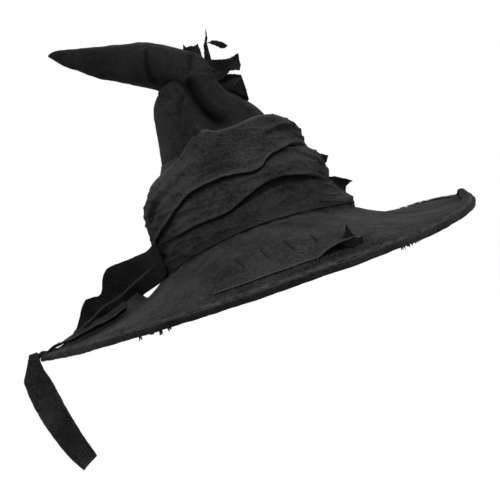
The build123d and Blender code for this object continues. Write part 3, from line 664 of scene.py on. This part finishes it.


# how far the cloth stands off its plain form at a place seen from the front or back, and how much
# painted shade it gets in a fold
def hornFolds(x, z, side):
    front = ease(-side * 1.8)
    rear = ease(side * 1.8)
    push = paintedShade = 0.0

    # how far off a fold the place is, and how strong the fold still is there: each end
    # fades in at its own rate
    def fold(name, start, end, startBy=0.0, endBy=0.0):
        off, part = besideLine(horn[name], x, z)
        return off, ease(part * start + startBy) * ease((1 - part) * end + endBy)

    if front > 0:
        # the lobe lies over the cloth outside its edge
        off, part = besideLine(horn["lobe"], x, z)
        rise = front * ease((z - 106) / 14)
        strong = rise * ease((part + 0.02) * 12)
        step = 1 - 2 * ease(off / 2.0 + 0.5)
        push += strong * step * (2.6 * hill(off, 17) if off < 0 else 5.0 * hill(off, 7))
        paintedShade += 0.95 * rise * hill(off - 1.0, 1.7)
        off, strong = fold("valley", 7, 2.2, 0.25, 0.11)
        strong *= front
        push -= strong * 10.5 * hill(off, 5.0)
        paintedShade += strong * (0.9 * hill(off, 5.0) + 0.35 * hill(off + 5, 6))
        paintedShade += front * 0.4 * hill(off - 13, 10) * ease((150 - z) / 12)
        off, strong = fold("panel", 9, 3, 0.3)
        push += front * strong * 3.0 * hill(off, 3.2)
        off, strong = fold("panelTop", 5, 5)
        push += front * strong * 1.3 * hill(off, 1.4)
        push += front * 1.4 * hill(besideLine(horn["rightEdge"], x, z)[0], 2.4)
        off, strong = fold("hornFold", 6, 5)
        push += front * strong * (1.3 * hill(off + 3, 2.6) - 1.7 * hill(off, 1.8))
        paintedShade += front * strong * 0.55 * hill(off, 2.0)
        off, strong = fold("bendFold", 4, 6, 0.0, 0.3)
        push -= front * strong * 2.6 * hill(off, 3.5)
        paintedShade += front * strong * 0.5 * hill(off, 3.5)
        off, strong = fold("lobeFold", 5, 3)
        push += front * strong * (1.8 * hill(off - 3, 3.0) - 2.4 * hill(off + 1.5, 2.6))
        paintedShade += front * strong * 0.3 * hill(off + 2.5, 3.5)
        off, strong = fold("lobeFold2", 5, 3)
        push -= front * strong * 1.2 * hill(off, 3.0)
    if rear > 0:
        off, strong = fold("backFold", 5, 3)
        push += rear * strong * (2.6 * hill(off - 8, 5.0) - 5.5 * hill(off, 4.0))
        paintedShade += rear * strong * 0.5 * hill(off, 4.0)
        for name in ("backFold2", "backFold3"):
            off, strong = fold(name, 5, 3)
            push -= rear * strong * 2.6 * hill(off, 3.5)
    return push, paintedShade


# a place on the tube before its folds: point, way out, which side it is on, half the tube's
# width there, and how far the tube is open; both its ends are closed by small lids
def hornTube(u, v):
    footLid, endLid = 0.03, 0.005
    at = min(max((v - footLid) / (1 - footLid - endLid), 0.0), 1.0) * (len(hornStations) - 1)
    shrink = min(v / footLid, 1.0) * min((1 - v) / endLid, 1.0)
    lines = zip(*[(a[0], a[1], b[0], b[1], deepness) for a, b, deepness in hornStations])
    x0, z0, x1, z1, depth = [keyed(list(enumerate(line)), at) for line in lines]
    middle = Vector((x0 + x1, 0, z0 + z1)) / 2
    half = Vector((x1 - x0, 0, z1 - z0)) / 2
    turn = math.radians(90 + 360 * u)
    c, side = math.cos(turn), math.sin(turn)
    point = middle + (half * c + Vector((0, depth * side, 0))) * shrink
    out = (half.normalized() * c + Vector((0, side, 0))).normalized()
    return point, out, side, half.length, shrink


def hornPlace(u, v):
    point, out, side, size, shrink = hornTube(u, v)
    x, z = point.x, point.z
    push = hornFolds(x, z, side)[0]
    reach = ease((size - 4) / 16)      # the narrow end stays plain
    push += reach * 1.4 * swell(x * 1.9, side * 30, z * 0.5, 30, 4.3)
    push += reach * 0.8 * swell(x * 1.4, side * 20, z * 0.6, 11, 6.1)
    push += 0.3 * swell(x, side * 20, z, 5, 7.9) * ease(size / 8)
    return point + out * push * ease(shrink * 2 - 1)


# painted shade in the folds of the neck and the tip; besides, the whole cloth is darkened a little,
# and more from the bend out to the tip
def hornPaintedShade(u, v):
    point, _, side, _, _ = hornTube(u, v)
    return min(hornFolds(point.x, point.z, side)[1] + 0.14 + 0.3 * ease((v - 0.40) / 0.1), 1.0)


crownCloth = makeCloth("neckAndTip", 280, 270, (240, 270), hornPlace, closed=True,
                       paintedShade=hornPaintedShade)
faceAwayFrom(crownCloth, (-10, 0, 140))
print("neck and tip made")

# The strip that stands beside the crown: its top edge and foot seen from the front, its
# place from above, and the ridge along which it is folded.
sashEnd = {
    "left": -192.0,
    "long": 105.4,
    "thick": 1.0,
    "top": [(-196, -20), (-188, -15), (-181, -6), (-175, 2.5), (-170, 6.6), (-163, 6.8),
            (-157, 6.6), (-153.6, 10), (-149.6, 19), (-144.4, 25.6), (-138, 28), (-124, 28.2),
            (-110, 28.6), (-100, 28.4), (-93, 30.4), (-86, 33)],
    "foot": [(-198, -23.6), (-187, -19), (-170, -17.4), (-160, -16.4), (-151, -13.6), (-142, -12),
             (-131, -13.8), (-124, -12), (-118.5, -8), (-112, -6.4), (-103, -4.4), (-95, -2),
             (-86, 3)],
    "plan": [(-196, 7), (-188, 9), (-176, 7), (-168, 11), (-158, 14), (-148, 13), (-138, 17),
             (-124, 20), (-114, 11), (-106, 0), (-100, -10), (-96, -22), (-92, -33), (-86, -46)],
    "ridge": [(-192, -20), (-170, -12), (-158, -6), (-146, -3.5), (-138, -1.5), (-128, 3),
              (-110, 9), (-95, 14), (-84, 16)],
}


def tailPlace(u, v):
    x = sashEnd["left"] + sashEnd["long"] * u
    high = keyed(sashEnd["top"], x) + 0.5 * swell(x, 0, 0, 3, 1.9)
    y = keyed(sashEnd["plan"], x)
    low = max(keyed(sashEnd["foot"], x), brimFace(x, y - 4) + 0.4)   # it stands on the brim
    low = min(low, high - 1.5)
    z = low + (high - low) * v
    beside = z - keyed(sashEnd["ridge"], x)
    # the cloth folds forward under the ridge, which leaves a small lit ledge
    step = hill(beside, 1.3) if beside > 0 else hill(beside, 9.0)
    fade = ease((x + 196) / 14) * ease((-98 - x) / 10)
    y -= 5.0 * step * fade
    ruffle = 2.5 * math.sin(x / 6.2 + z / 19) * ease((z - low) / 14)
    y += fade * (ruffle + 1.2 * swell(x, 0, z, 12, 2.6))
    return x, y, z


# pale along its top, and along the ledge under the ridge as a painted highlight
def tailEdge(u, v):
    x, _, z = tailPlace(u, v)
    return 0.3 * hill(1 - v, 0.04) + 0.8 * hill(z - keyed(sashEnd["ridge"], x) - 0.2, 0.5)


# the root of the sash end lies in the shadow of the scarf
def tailPaintedShade(u, v):
    x = tailPlace(u, v)[0]
    return min(0.7 * ease((x + 106) / 14) + 0.6 * ease((x + 100) / 9), 1.0)


sashTail = makeCloth("sashTail", 200, 90, (110, 50), tailPlace, edge=tailEdge,
                     thick=sashEnd["thick"], side=0.0, paintedShade=tailPaintedShade)

# The strip along the brim. Off the brim's point it is rolled, and the hanging end turns on
# the roll.
ribbon = {
    "left": -237.6,
    "right": -137.0,
    "width": [(-246, 7), (-228, 8), (-215, 8), (-190, 10), (-170, 11), (-140, 11)],
    "middle": [(-246, 0), (-228, 0), (-210, -1), (-190, -1), (-170, 0.5), (-155, 3), (-138, 7)],
    "rollRadius": 2.3,
    "rollHeight": -26.4,
    "brimEnd": -226.0,        # it lies on the brim up to here
    "thick": 0.9,
}


def ribbonPlace(u, v):
    x = ribbon["left"] + (ribbon["right"] - ribbon["left"]) * u
    wide = keyed(ribbon["width"], x)
    middle = keyed(ribbon["middle"], x)
    w = (v - 0.5) * wide
    end = ribbon["brimEnd"]
    base = brimFace(max(x, end), 0 if x < end else middle + w) + 2.4
    # the near edge stands up as a fold, the rest lies on the brim
    stand = 3.4 * ease((0.32 - v) * 4) * ease((x - end) / 20)
    stand *= 0.7 + 0.5 * swell(x, 0, 0, 16, 3.3)
    crumple = 0.8 * swell(x, w, 0, 9, 5.2)
    flat = Vector((x, middle + w, base + stand + crumple * ease((x - end) / 10)))
    curl = 1 - ease((x + 229) / 13)
    turn = math.tau * 1.15 * (v - 0.5) + math.pi / 2
    radius = ribbon["rollRadius"] * (1 - 0.25 * v) + 0.9 * ease((x + 227) / 2.5)
    height = ribbon["rollHeight"] + 1.3 * ease((x + 227) / 5)
    rolled = Vector((x, radius * math.cos(turn), height + radius * math.sin(turn)))
    return flat.lerp(rolled, curl)


# both edges are painted pale, the standing near edge most: painted highlight and rubbed wear
sashRun = makeCloth("sashRun", 150, 24, (110, 10), ribbonPlace, thick=ribbon["thick"], side=0.0,
                    edge=lambda u, v: 0.9 * hill(v, 0.12) + 0.3 * hill(1 - v, 0.08))

# The hanging end: where its left and right edges are at each distance below the fold.
strapShape = {
    "left": [(-6, -236.5), (0, -238.5), (5, -241.2), (10, -244.6), (17, -249.4), (22, -250.3),
             (35, -250.2), (55, -247.5), (75, -242.5), (95, -236), (105, -231.5), (115, -226)],
    "right": [(-6, -229), (0, -228.2), (5, -228.1), (12, -228), (18, -227), (24, -225.4),
              (35, -223.8), (55, -221), (75, -217.4), (88, -214.8), (98, -212.2), (108, -210)],
    "ends": (114.5, 106.0),  # how far its two lower corners hang
    "loop": 3.4,             # radius of the loop over the roll
    "loopShare": 0.12,       # how much of the cloth is in the loop
    "fold": -26.4,
    "thick": 1.0,
}


# v runs from behind the roll over its top and down the front
def strapPlace(u, v):
    over = strapShape["loopShare"]
    loop = strapShape["loop"]
    if v < over:
        turn = math.radians(-60 + 240 * v / over)
        drop = -3 - 3 * math.sin(turn)
        x0, x1 = keyed(strapShape["left"], drop), keyed(strapShape["right"], drop)
        return (x0 + (x1 - x0) * u, loop * math.cos(turn),
                strapShape["fold"] + loop * math.sin(turn))
    down = (v - over) / (1 - over)
    leftEnd, rightEnd = strapShape["ends"]
    drop = down * (leftEnd + (rightEnd - leftEnd) * u)
    x0, x1 = keyed(strapShape["left"], drop), keyed(strapShape["right"], drop)
    x = x0 + (x1 - x0) * u
    x += 0.35 * swell(drop, 0, 0, 6, 1.1) * (1 if u < 0.5 else -1) * abs(2 * u - 1) ** 4
    bow = 1.6 * math.cos(math.pi * (u - 0.5)) * ease(drop / 25)
    wave = 1.5 * math.sin(drop / 21 + 1.5 * u) * ease(drop / 20)
    lead = -loop * (1 - ease(drop / 30))
    crease = 1.1 * hill(besideLine([(-243, 4), (-228, 30)], x, drop)[0], 2.5)
    y = lead - bow + wave - crease + 0.5 * swell(x, 0, drop, 9, 8.8) * ease(drop / 10)
    return x, y, strapShape["fold"] - drop


def strapEdge(u, v):
    return 0.5 * hill(u, 0.06) + 0.5 * hill(1 - u, 0.06) + 0.7 * hill(1 - v, 0.02)


strapCloth = makeCloth("hangingStrap", 26, 150, (25, 135), strapPlace, edge=strapEdge,
                       thick=strapShape["thick"], side=0.0)
print("sash end made")

# The laced strip: distances out from the middle, and angles.
strip = {
    "inner": 155.0, "outer": 193.0, "start": -105.0, "end": -79.0, "lift": 1.0,
    "tuck": 1.6,              # how far its inner edge is sewn down into the brim
    "hemRise": 1.5,
    "thick": 0.9,
    # each slit: angle and distance out of its inner end, then of its outer end
    "slits": [(-99.2, 158, -96.2, 175), (-90.8, 158, -89.4, 176), (-83.8, 157, -82.2, 175)],
}


def stripPlace(u, v):
    angle = strip["start"] + (strip["end"] - strip["start"]) * u
    reach = strip["outer"] + (strip["inner"] - strip["outer"]) * v
    # its left end is cut round
    trim = 9 * (1 - math.sqrt(max(1 - (1 - min(u * 5, 1)) ** 2, 0)))
    angle += trim * 0.33 * v * (1 if u < 0.2 else 0)
    x, y = around(math.radians(angle), reach)
    lift = stripRise(angle, reach) + 0.7 * hill(v, 0.06) - strip["tuck"] * hill(1 - v, 0.1)
    return x, y, brimFace(x, y) + lift + 0.3 * swell(x, y, 0, 9, 2.4)


# a slit: a lip that stands up on one side of a cut, whose dark is painted shade
def slitShape(angle, reach):
    lift = dark = 0.0
    for angle0, reach0, angle1, reach1 in strip["slits"] + [looseEnd["slit"]]:
        along = (reach - reach0) / (reach1 - reach0)
        beside = math.radians(angle - angle0 - (angle1 - angle0) * along) * reach
        within = ease((reach - reach0) / 2) * ease((reach1 - reach) / 2)
        lift += within * (1.4 * hill(beside - 1.1, 0.7) - 1.8 * hill(beside + 0.3, 0.6))
        dark += within * hill(beside + 0.1, 0.65)
    return lift, dark


# the strip's height over the brim: more over the hem, and a lip along each slit
def stripRise(angle, reach):
    return strip["lift"] + strip["hemRise"] * ease((reach - 187) / 3) + slitShape(angle, reach)[0]


def stripPaintedShade(u, v):
    angle = strip["start"] + (strip["end"] - strip["start"]) * u
    return slitShape(angle, strip["outer"] + (strip["inner"] - strip["outer"]) * v)[1]


# The loose end runs on from the strip. Its outer edge stands off the brim, its inner side
# tapers in, and its two points are cut like a swallow's tail.
looseEnd = {
    "end": -65.6,
    "slit": (-75.4, 160, -76.0, 178),
    "edgeLift": [(-79, 0), (-77.6, 1.6), (-75.5, 4.4), (-72.4, 6.4), (-69, 5.8), (-65.6, 4.2)],
    "inner": [(-79, 155), (-74, 157), (-70, 164), (-67, 176), (-65.6, 184)],
    "outer": [(-79, 193), (-72, 192), (-68, 190), (-65.6, 187.5)],
    "thick": 0.8,
}
# its outer edge is painted pale, a painted highlight, and its left end a little, rubbed wear
lacedStrip = makeCloth("lacedStrip", 260, 80, (100, 38), stripPlace, thick=strip["thick"],
                       side=1.0, paintedShade=stripPaintedShade,
                       edge=lambda u, v: 0.9 * hill(v, 0.03) + 0.5 * hill(u, 0.015))


def looseSpot(u, v):
    angle = strip["end"] + (looseEnd["end"] - strip["end"]) * u
    inner, outer = keyed(looseEnd["inner"], angle), keyed(looseEnd["outer"], angle)
    return angle, outer + (inner - outer) * v


def loosePlace(u, v):
    angle, reach = looseSpot(u, v)
    x, y = around(math.radians(angle), reach)
    lift = stripRise(angle, reach) - strip["tuck"] * hill((reach - strip["inner"]) / 34, 0.1)
    lift += keyed(looseEnd["edgeLift"], angle) * ease((reach - 160) / 32) ** 1.3
    return x, y, brimFace(x, y) + lift + 0.3 * swell(x, y, 0, 7, 6.6)


def loosePaintedShade(u, v):
    return slitShape(*looseSpot(u, v))[1]


# painted pale at its cut end and along its lifted outer edge, a painted highlight with rubbed wear,
# and a little along its inner side
def looseEdge(u, v):
    return 0.9 * hill(1 - u, 0.03) + 0.9 * hill(v, 0.03) + 0.3 * hill(1 - v, 0.03)


looseCloth = makeCloth("stripLooseEnd", 110, 80, (37, 34), loosePlace, edge=looseEdge,
                       thick=looseEnd["thick"], side=1.0, paintedShade=loosePaintedShade)

# Its two points, folded: one stands up, the other runs on along the brim. Each corner is an
# angle, a distance out and a height over the brim.
points = {
    "pointUp": [(-72.0, 191, 6.4), (-70.6, 188.5, 9), (-69.0, 186.5, 12.5), (-67.7, 184.5, 16.5),
                (-67.6, 187, 10), (-67.2, 190, 5.2)],
    "pointOut": [(-71.4, 191.8, 6.4), (-69.0, 191.4, 6.0), (-66.9, 189.4, 5.8),
                 (-64.9, 187.6, 6.2), (-65.9, 189.8, 3.2), (-67.4, 191.8, -0.4), (-69.6, 192, 1.6)],
}


def brimSpot(angle, reach, lift):
    x, y = around(math.radians(angle), reach)
    return x, y, brimFace(x, y) + lift


print("laced strip made")

# Each rag: outline in X and Z, how far back it stands, how much it curls, the body it rides
# on and the node it stands for.
rags = {
    "ragUpper": ([(9, 164), (17, 174), (22, 172.5), (28, 170.5), (33, 169), (38, 169.3),
                  (44.4, 170.5), (43.6, 165), (43, 160), (40.4, 155), (36, 156.8), (31, 157.6),
                  (24, 154), (12, 152)], -3, 3.0, "hat", "rag_upper"),
    "ragLower": ([(10, 157), (20, 157.6), (31, 156.2), (36, 153.4), (40, 151.5), (39.2, 144),
                  (39.6, 139), (38.6, 127), (33, 124), (26, 128), (18, 138), (12, 148)],
                 0, 3.5, "hat", "rag_lower"),
    "ragSideLarge": ([(80, 34.4), (88, 31.5), (95, 27), (101.5, 22.6), (97, 21),
                      (94, 19.6), (92.6, 16.6), (91, 13), (89.4, 18), (84, 27)],
                     -8, 2.5, "hat", "side_rag_large"),
    "ragSideSmall": ([(76, 58), (83, 55.5), (88, 52), (85.5, 50), (84.3, 46.5), (78, 45)],
                     -14, 1.5, "hat", "side_rag_small"),
    "ragTop": ([(-4, 188), (-1.5, 193), (0, 197.5), (1.5, 193.5), (5, 193.6), (8, 192.2),
                (12.5, 193), (12.8, 187), (12, 181), (5, 179)], 3, 2.0, "tip", "rag_top"),
    "ragSpike": ([(13, 172), (19, 173.5), (19.6, 179), (18.6, 184), (20.6, 190), (23.2, 195),
                  (24.4, 204), (21.8, 197), (17.2, 190), (15.8, 184), (14, 180)],
                 3, 2.0, "tip", "rag_spike"),
    "ragDiamond": ([(20.6, 190.6), (26, 191), (31, 188.6), (35, 185.6), (38.4, 181),
                    (34, 180.4), (30.4, 181.6), (26.6, 186)], 3, 2.0, "tip", "rag_diamond"),
}
# wall of a scrap, its longest mesh edge, how wide its fray is and how far the fray reaches
scrap = {"thick": 0.5, "grid": 1.6, "frayStep": 1.6, "fray": 0.7}
# each scrap's width, height and area as it was cut, before it is bent; a side counts as
# 10 mm at least
scrapCuts = {}


# a torn scrap: its outline filled, cut into small faces, frayed at the edge, then bent
# dark is painted shade: how dark the scrap is painted; it also takes the pale off its rim
def makeScrap(name, outline, seed, bend=None, dark=0.0):
    bm = bmesh.new()
    whole = bm.faces.new([bm.verts.new(Vector(corner) * mm) for corner in outline])
    xs, ys, zs = zip(*outline)
    wide, tall = max(xs) - min(xs), math.hypot(max(ys) - min(ys), max(zs) - min(zs))
    scrapCuts[name] = max(wide, 10) * mm, max(tall, 10) * mm, whole.calc_area()
    bmesh.ops.triangulate(bm, faces=bm.faces)
    for _ in range(6):
        longEdges = [e for e in bm.edges if e.calc_length() > scrap["grid"] * mm]
        if longEdges:
            bmesh.ops.subdivide_edges(bm, edges=longEdges, cuts=1)
            bmesh.ops.triangulate(bm, faces=bm.faces)
    edgeLayer = bm.verts.layers.float.new("edge")
    paintedShadeLayer = bm.verts.layers.float.new("paintedShade")
    uvLayer = bm.loops.layers.uv.new("cloth")
    rim = {v for e in bm.edges if e.is_boundary for v in e.verts}
    for v in bm.verts:
        x, y, z = v.co / mm
        v[edgeLayer] = 0.8 * (1 - dark) if v in rim else 0.0
        v[paintedShadeLayer] = dark
        if v in rim:
            sideways = swell(x, y, z, scrap["frayStep"], seed)
            upwards = swell(x, y, z, scrap["frayStep"], seed + 3)
            v.co += Vector((sideways, 0, upwards)) * scrap["fray"] * mm
        if bend:
            v.co.y += bend(x, z) * mm
    for face in bm.faces:
        for loop in face.loops:
            loop[uvLayer].uv = (loop.vert.co.x, loop.vert.co.z)
    return meshPiece(name, bm, scrap["thick"], 0.0)


def makeRag(name, outline, back, curl, seed):
    lowX = min(x for x, z in outline)

    def bend(x, z):
        out = ease((x - lowX) / 14)
        return curl * out * (swell(x, 0, z, 13, seed) * 1.6 + math.sin(z / 5 + seed))

    return makeScrap(name, [(x, back, z) for x, z in outline], seed, bend)


# the strip's two folded points are painted dark, a painted shade
pointPieces = [makeScrap(name, [brimSpot(*corner) for corner in corners], 2.1, dark=0.8)
               for name, corners in points.items()]
# the folded-over corner of the lower rag, made dark with the sash end's cloth, a painted shade
ragCorner = makeRag("ragCorner", [(30.5, 144), (35, 147), (39.4, 149), (39.4, 139), (38.6, 129),
                                  (34, 133), (30, 136.6)], -6, 1.0, 5.2)
ragPieces = {}
for i, (name, (outline, back, curl, *_)) in enumerate(rags.items()):
    ragPieces[name] = makeRag(name, outline, back, curl, 1.7 * i + 0.4)
print("rags made")

random.seed(7)


# torn thread ends under the hem: two groups, as short tapered spikes
def makeFray(name, places):
    bm = bmesh.new()
    for x0, length in places:
        for _ in range(4):
            x = x0 + random.uniform(-1.8, 1.8)
            y = -math.sqrt((brim["rim"] - 4.5) ** 2 - x * x)
            z = brimFace(x, y) - 6.9
            bottom = (x + random.uniform(-1.5, 1.5), y + random.uniform(-1, 1),
                      z - length * random.uniform(0.5, 1.0))
            threadPiece(bm, (x, y, z + 0.6), bottom, random.uniform(0.5, 1.1), (0.3, 0, 0))
    bmesh.ops.recalc_face_normals(bm, faces=bm.faces)
    return meshPiece(name, bm)


# each tuft: where it hangs from the hem, seen from the front, and how long it is
frayLeft = makeFray("frayLeft", [(-118, 5.6), (-108, 4.6), (-101, 6.0), (-93, 4.4)])
frayRight = makeFray("frayRight", [(107, 3.8), (113, 3.2), (121, 3.2)])

hemStitching = {
    "inward": 7.2,           # from the rim, just inside the hem's folded edge
    "gap": 4.2,              # from one stitch to the next
    "length": 2.8,
    "lift": 1.65,
    "thread": 0.34,
}


# the hem's running stitch, one short thread per stitch
def makeStitches(name, stitch):
    bm = bmesh.new()
    count = int(math.tau * (brim["rim"] - 5) / stitch["gap"])
    for i in range(count):
        ends = []
        for shift in (0.0, stitch["length"] / stitch["gap"]):
            angle = math.tau * (i + shift) / count
            x, y = around(angle, rimReach(angle) - stitch["inward"])
            ends.append((x, y, brimFace(x, y) + stitch["lift"]))
        threadPiece(bm, *ends, stitch["thread"], (0, 0, 0.35), 4, 2)
    bmesh.ops.recalc_face_normals(bm, faces=bm.faces)
    return meshPiece(name, bm)


hemStitch = makeStitches("hemStitches", hemStitching)

# a bar of stitches that holds the sash to the brim's point
tacking = {"stitches": 7, "left": -208.5, "step": 0.5, "front": -4.5, "back": 1.5, "over": 4.0}
tackStitch = bmesh.new()
for i in range(tacking["stitches"]):
    x = tacking["left"] + tacking["step"] * i
    ends = [(x, y, brimFace(x, y) + tacking["over"]) for y in (tacking["front"], tacking["back"])]
    threadPiece(tackStitch, *ends, 0.35, (0, 0, 0.5))
tack = meshPiece("sashTack", tackStitch)
print("threads made")

# The lining hangs from the sweatband, leans with the crown and is gathered at its top. wall
# is the share of the cloth in its wall; the rest is the gathered lid.
lining = {
    "profile": [(-6, 92.6), (4, 92.8), (10, 92.4), (20, 87.4), (33, 80.2), (50, 76.2), (65, 70.2),
                (80, 63.2), (88, 58.6)],
    "lean": [(-6, 0), (10, 0), (20, -2.5), (33, -5), (65, -5), (80, -3.5), (90, -3)],
    "wall": 0.7,
    "thick": 0.4,
    "seams": 6,
    "pleats": 22,
}


def liningPlace(u, v):
    angle = math.radians(90 + 360 * u)
    foot = lining["profile"][0][0]
    top, topRadius = lining["profile"][-1]
    if v < lining["wall"]:
        height = foot + (top - foot) * v / lining["wall"]
        radius = keyed(lining["profile"], height)
    else:
        inward = (v - lining["wall"]) / (1 - lining["wall"])
        height = top + 1.2 * math.sin(inward * math.pi / 2)
        radius = topRadius * max(1 - inward, 0.0) ** 0.9
    seam = (0.5 + 0.5 * math.cos(angle * lining["seams"])) ** 12
    radius -= 0.8 * seam * ease((height - 4) / 20)
    pleat = 0.7 * math.sin(angle * lining["pleats"] + 2 * swell(radius, height, 0, 30, 3))
    pleat *= hill(max(top - height, 0), 14)
    radius -= 0.6 + abs(0.5 * swell(angle * 60, height, 0, 20, 9))   # it never bulges outwards
    radius = max(radius + min(pleat, 0.2), 0.0)
    x, y = around(angle, radius)
    return x + keyed(lining["lean"], height), y, height


liningCloth = makeCloth("crownLining", 240, 80, (560, 150), liningPlace, closed=True,
                        thick=lining["thick"], side=1.0)
faceAwayFrom(liningCloth, (0, 0, 40))


band = {"radius": 91.6, "low": -9.0, "high": 9.0, "ribs": 9, "rib": 0.12, "bead": 0.35,
        "thick": 0.8}


# the sweatband: ribbed along its length, with a bead at each edge
def bandPlace(u, v):
    angle = math.radians(90 + 360 * u)
    radius = band["radius"] + band["rib"] * math.sin(v * 2 * band["ribs"] * math.pi)
    radius += band["bead"] * (hill(v, 0.05) + hill(1 - v, 0.05))
    height = band["low"] + (band["high"] - band["low"]) * v
    return *around(angle, radius), height


bandCloth = makeCloth("sweatbandCloth", 260, 74, (575, 18), bandPlace, closed=True,
                      thick=band["thick"], side=1.0)
faceAwayFrom(bandCloth, (0, 0, 0))
print("inside made")

dress(brimCloth, brimSuede, "black_suede_cloth", "hat", "brim_top_cloth", "brim_interfacing",
      "brim_under_cloth")
dress(hem, brimSuede, "black_suede_cloth", "hat", "brim_hem")
dress(sashBand, sashCloth, "black_sash_cloth", "hat", "sash_band")
dress(lowScarf, scarfSuede, "black_suede_cloth", "hat", "wrap_lower")
dress(highScarf, scarfSuede, "black_suede_cloth", "hat", "wrap_upper")
dress(sashTail, shadedSashCloth, "black_sash_cloth", "hat", "sash_tail")
dress(sashRun, sashCloth, "black_sash_cloth", "hat", "sash_run")
dress(strapCloth, sashCloth, "black_sash_cloth", "strap", "strap")
dress(lacedStrip, brimSuede, "black_suede_cloth", "hat", "laced_strip")
dress(looseCloth, brimSuede, "black_suede_cloth", "strip_end", "strip_tail")
# the point that runs on along the brim also wears the sash end's darker cloth, a painted shade
for piece, cloth in zip(pointPieces, (ragCloth, shadedSashCloth)):
    dress(piece, cloth, "black_suede_cloth", "strip_end")
for name, (*_, body, node) in rags.items():
    dress(ragPieces[name], ragCloth, "black_rag_cloth", body, node)
dress(ragCorner, shadedSashCloth, "black_rag_cloth", "hat")
dress(rimWire, springSteel, "spring_wire", "hat", "brim_wire")
dress(wireSleeve, springSteel, "spring_wire", "hat", "wire_joiner")
dress(frayLeft, ragCloth, "black_rag_cloth", "hat", "fray_left")
dress(frayRight, ragCloth, "black_rag_cloth", "hat", "fray_right")
dress(hemStitch, threadCotton, "black_suede_cloth", "hat")
dress(tack, threadCotton, "black_sash_cloth", "hat", "sash_tack")
dress(liningCloth, liningSatin, "lining_cloth", "hat", "crown_lining")
dress(bandCloth, bandRibbon, "sweatband_ribbon", "hat", "sweatband")

# the neck and the tip are one cloth, which turns smoothly across the bend
crownCloth.data.materials.clear()
crownCloth.data.materials.append(tipSuede)
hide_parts("crown_neck", "tip_cone")
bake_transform(crownCloth)

# three nodes keep their own shape
for node, finish in (("crown_cone", scarfSuede), ("crown_wire", springSteel),
                     ("tip_wire", springSteel)):
    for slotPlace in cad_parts[node].material_slots:
        slotPlace.link = "OBJECT"
        slotPlace.material = finish


# A scrap's flat size is that of its outline. Its area is worked out as at least 0.31 of its
# rectangle, which raises that of the slimmest one, ragSpike, from 102 to 113 square mm; the
# result is not kept. Its area can't be declared under 0.3 of its rectangle, which raises
# that of the slimmest one, ragSpike, from 102 to 113 square mm.
def declareScrap(piece):
    wide, tall, area = scrapCuts[piece.name]
    max(area, 0.31 * wide * tall)


for name, piece in ragPieces.items():
    declareScrap(piece)
declareScrap(ragCorner)
for piece in pointPieces:
    declareScrap(piece)
print("pieces dressed")

stage = {
    "floor": -0.40,          # in metres, as all of the stage
    "size": 6.0,
    "paper": 0.8,            # how pale the floor is to the lamps
    "paperGlow": 0.78,       # and what it adds where it is seen
    "skyLight": 0.26,
}


# 1 for what the camera sees, also in a gloss or through a clear thing, else 0
def seenDirectly(tree):
    path = addNode(tree, "LightPath")
    seen = path.outputs["Is Camera Ray"]
    for kind in ("Is Glossy Ray", "Is Transmission Ray"):
        seen = addNode(tree, "Math", {"operation": "MAXIMUM"},
                       {0: seen, 1: path.outputs[kind]}).outputs["Value"]
    return seen


def grey(value):
    return value, value, value, 1


def studioPaper(name):
    material, tree = newTree(name)
    seen = seenDirectly(tree)
    glow = addNode(tree, "Emission", {"Strength": 1.0, "Color": grey(stage["paperGlow"])})
    dark = addNode(tree, "Emission", {"Strength": 0.0})
    pale = addNode(tree, "BsdfDiffuse", {"Color": grey(stage["paper"])})
    choice = addNode(tree, "MixShader",
                     links={0: seen, 1: dark.outputs[0], 2: glow.outputs[0]})
    both = addNode(tree, "AddShader", links={0: pale.outputs[0], 1: choice.outputs[0]})
    addNode(tree, "OutputMaterial", links={"Surface": both.outputs[0]})
    return material


floorMesh = bmesh.new()
bmesh.ops.create_grid(floorMesh, x_segments=1, y_segments=1, size=stage["size"],
                      matrix=Matrix.Translation((0, 0, stage["floor"])))
floor = meshPiece("floor", floorMesh)
floor.data.materials.append(studioPaper("white studio paper"))

world = bpy.data.worlds.new("studio")
scene.world = world
world.use_nodes = True
sky = world.node_tree
sky.nodes.clear()
seen = seenDirectly(sky)
plain = addNode(sky, "Background", {"Strength": stage["skyLight"], "Color": grey(1)})
white = addNode(sky, "Background", {"Strength": 1.0, "Color": grey(1)})
choice = addNode(sky, "MixShader",
                 links={0: seen, 1: plain.outputs[0], 2: white.outputs[0]})
addNode(sky, "OutputWorld", links={"Surface": choice.outputs[0]})


def softLamp(name, place, aim, size, power):
    light = bpy.data.lights.new(name, "AREA")
    light.shape = "DISK"
    light.size = size
    light.energy = power
    lamp = bpy.data.objects.new(name, light)
    scene.collection.objects.link(lamp)
    lamp.location = place
    lamp.rotation_mode = "QUATERNION"
    lamp.rotation_quaternion = (Vector(aim) - Vector(place)).to_track_quat("-Z", "Y")


# each lamp: its place, where it aims, how wide it is in metres, and its watts
lamps = {
    "keyLamp": ((0.28, -1.25, 1.4), (0, 0, 0), 0.8, 17.2),
    "fillLamp": ((-1.5, -1.1, 0.5), (0, 0, 0), 1.2, 2.6),
    "backLamp": ((0.3, 1.4, 1.2), (0, 0, 0.05), 0.8, 9),
}
for name, settings in lamps.items():
    softLamp(name, *settings)

# level with the brim, straight in front, rolled so that the hat leans to the left
cameraSettings = {"distance": 1.29, "aim": (-0.010, 0.0, -0.004), "lens": 100.0, "roll": 20.764}
cameraData = bpy.data.cameras.new("camera")
cameraData.lens = cameraSettings["lens"]
cameraData.sensor_width = 36.0
cameraData.clip_start = 0.05
camera = bpy.data.objects.new("camera", cameraData)
scene.collection.objects.link(camera)
aim = Vector(cameraSettings["aim"])
roll = math.radians(cameraSettings["roll"])
right = Vector((math.cos(roll), 0, -math.sin(roll)))
up = Vector((math.sin(roll), 0, math.cos(roll)))
back = Vector((0, -1, 0))
camera.matrix_world = Matrix.Translation(aim + back * cameraSettings["distance"]) @ Matrix(
    (right, up, back)).transposed().to_4x4()
scene.camera = camera
scene.view_settings.view_transform = "Standard"
print("stage, lamps and camera set")
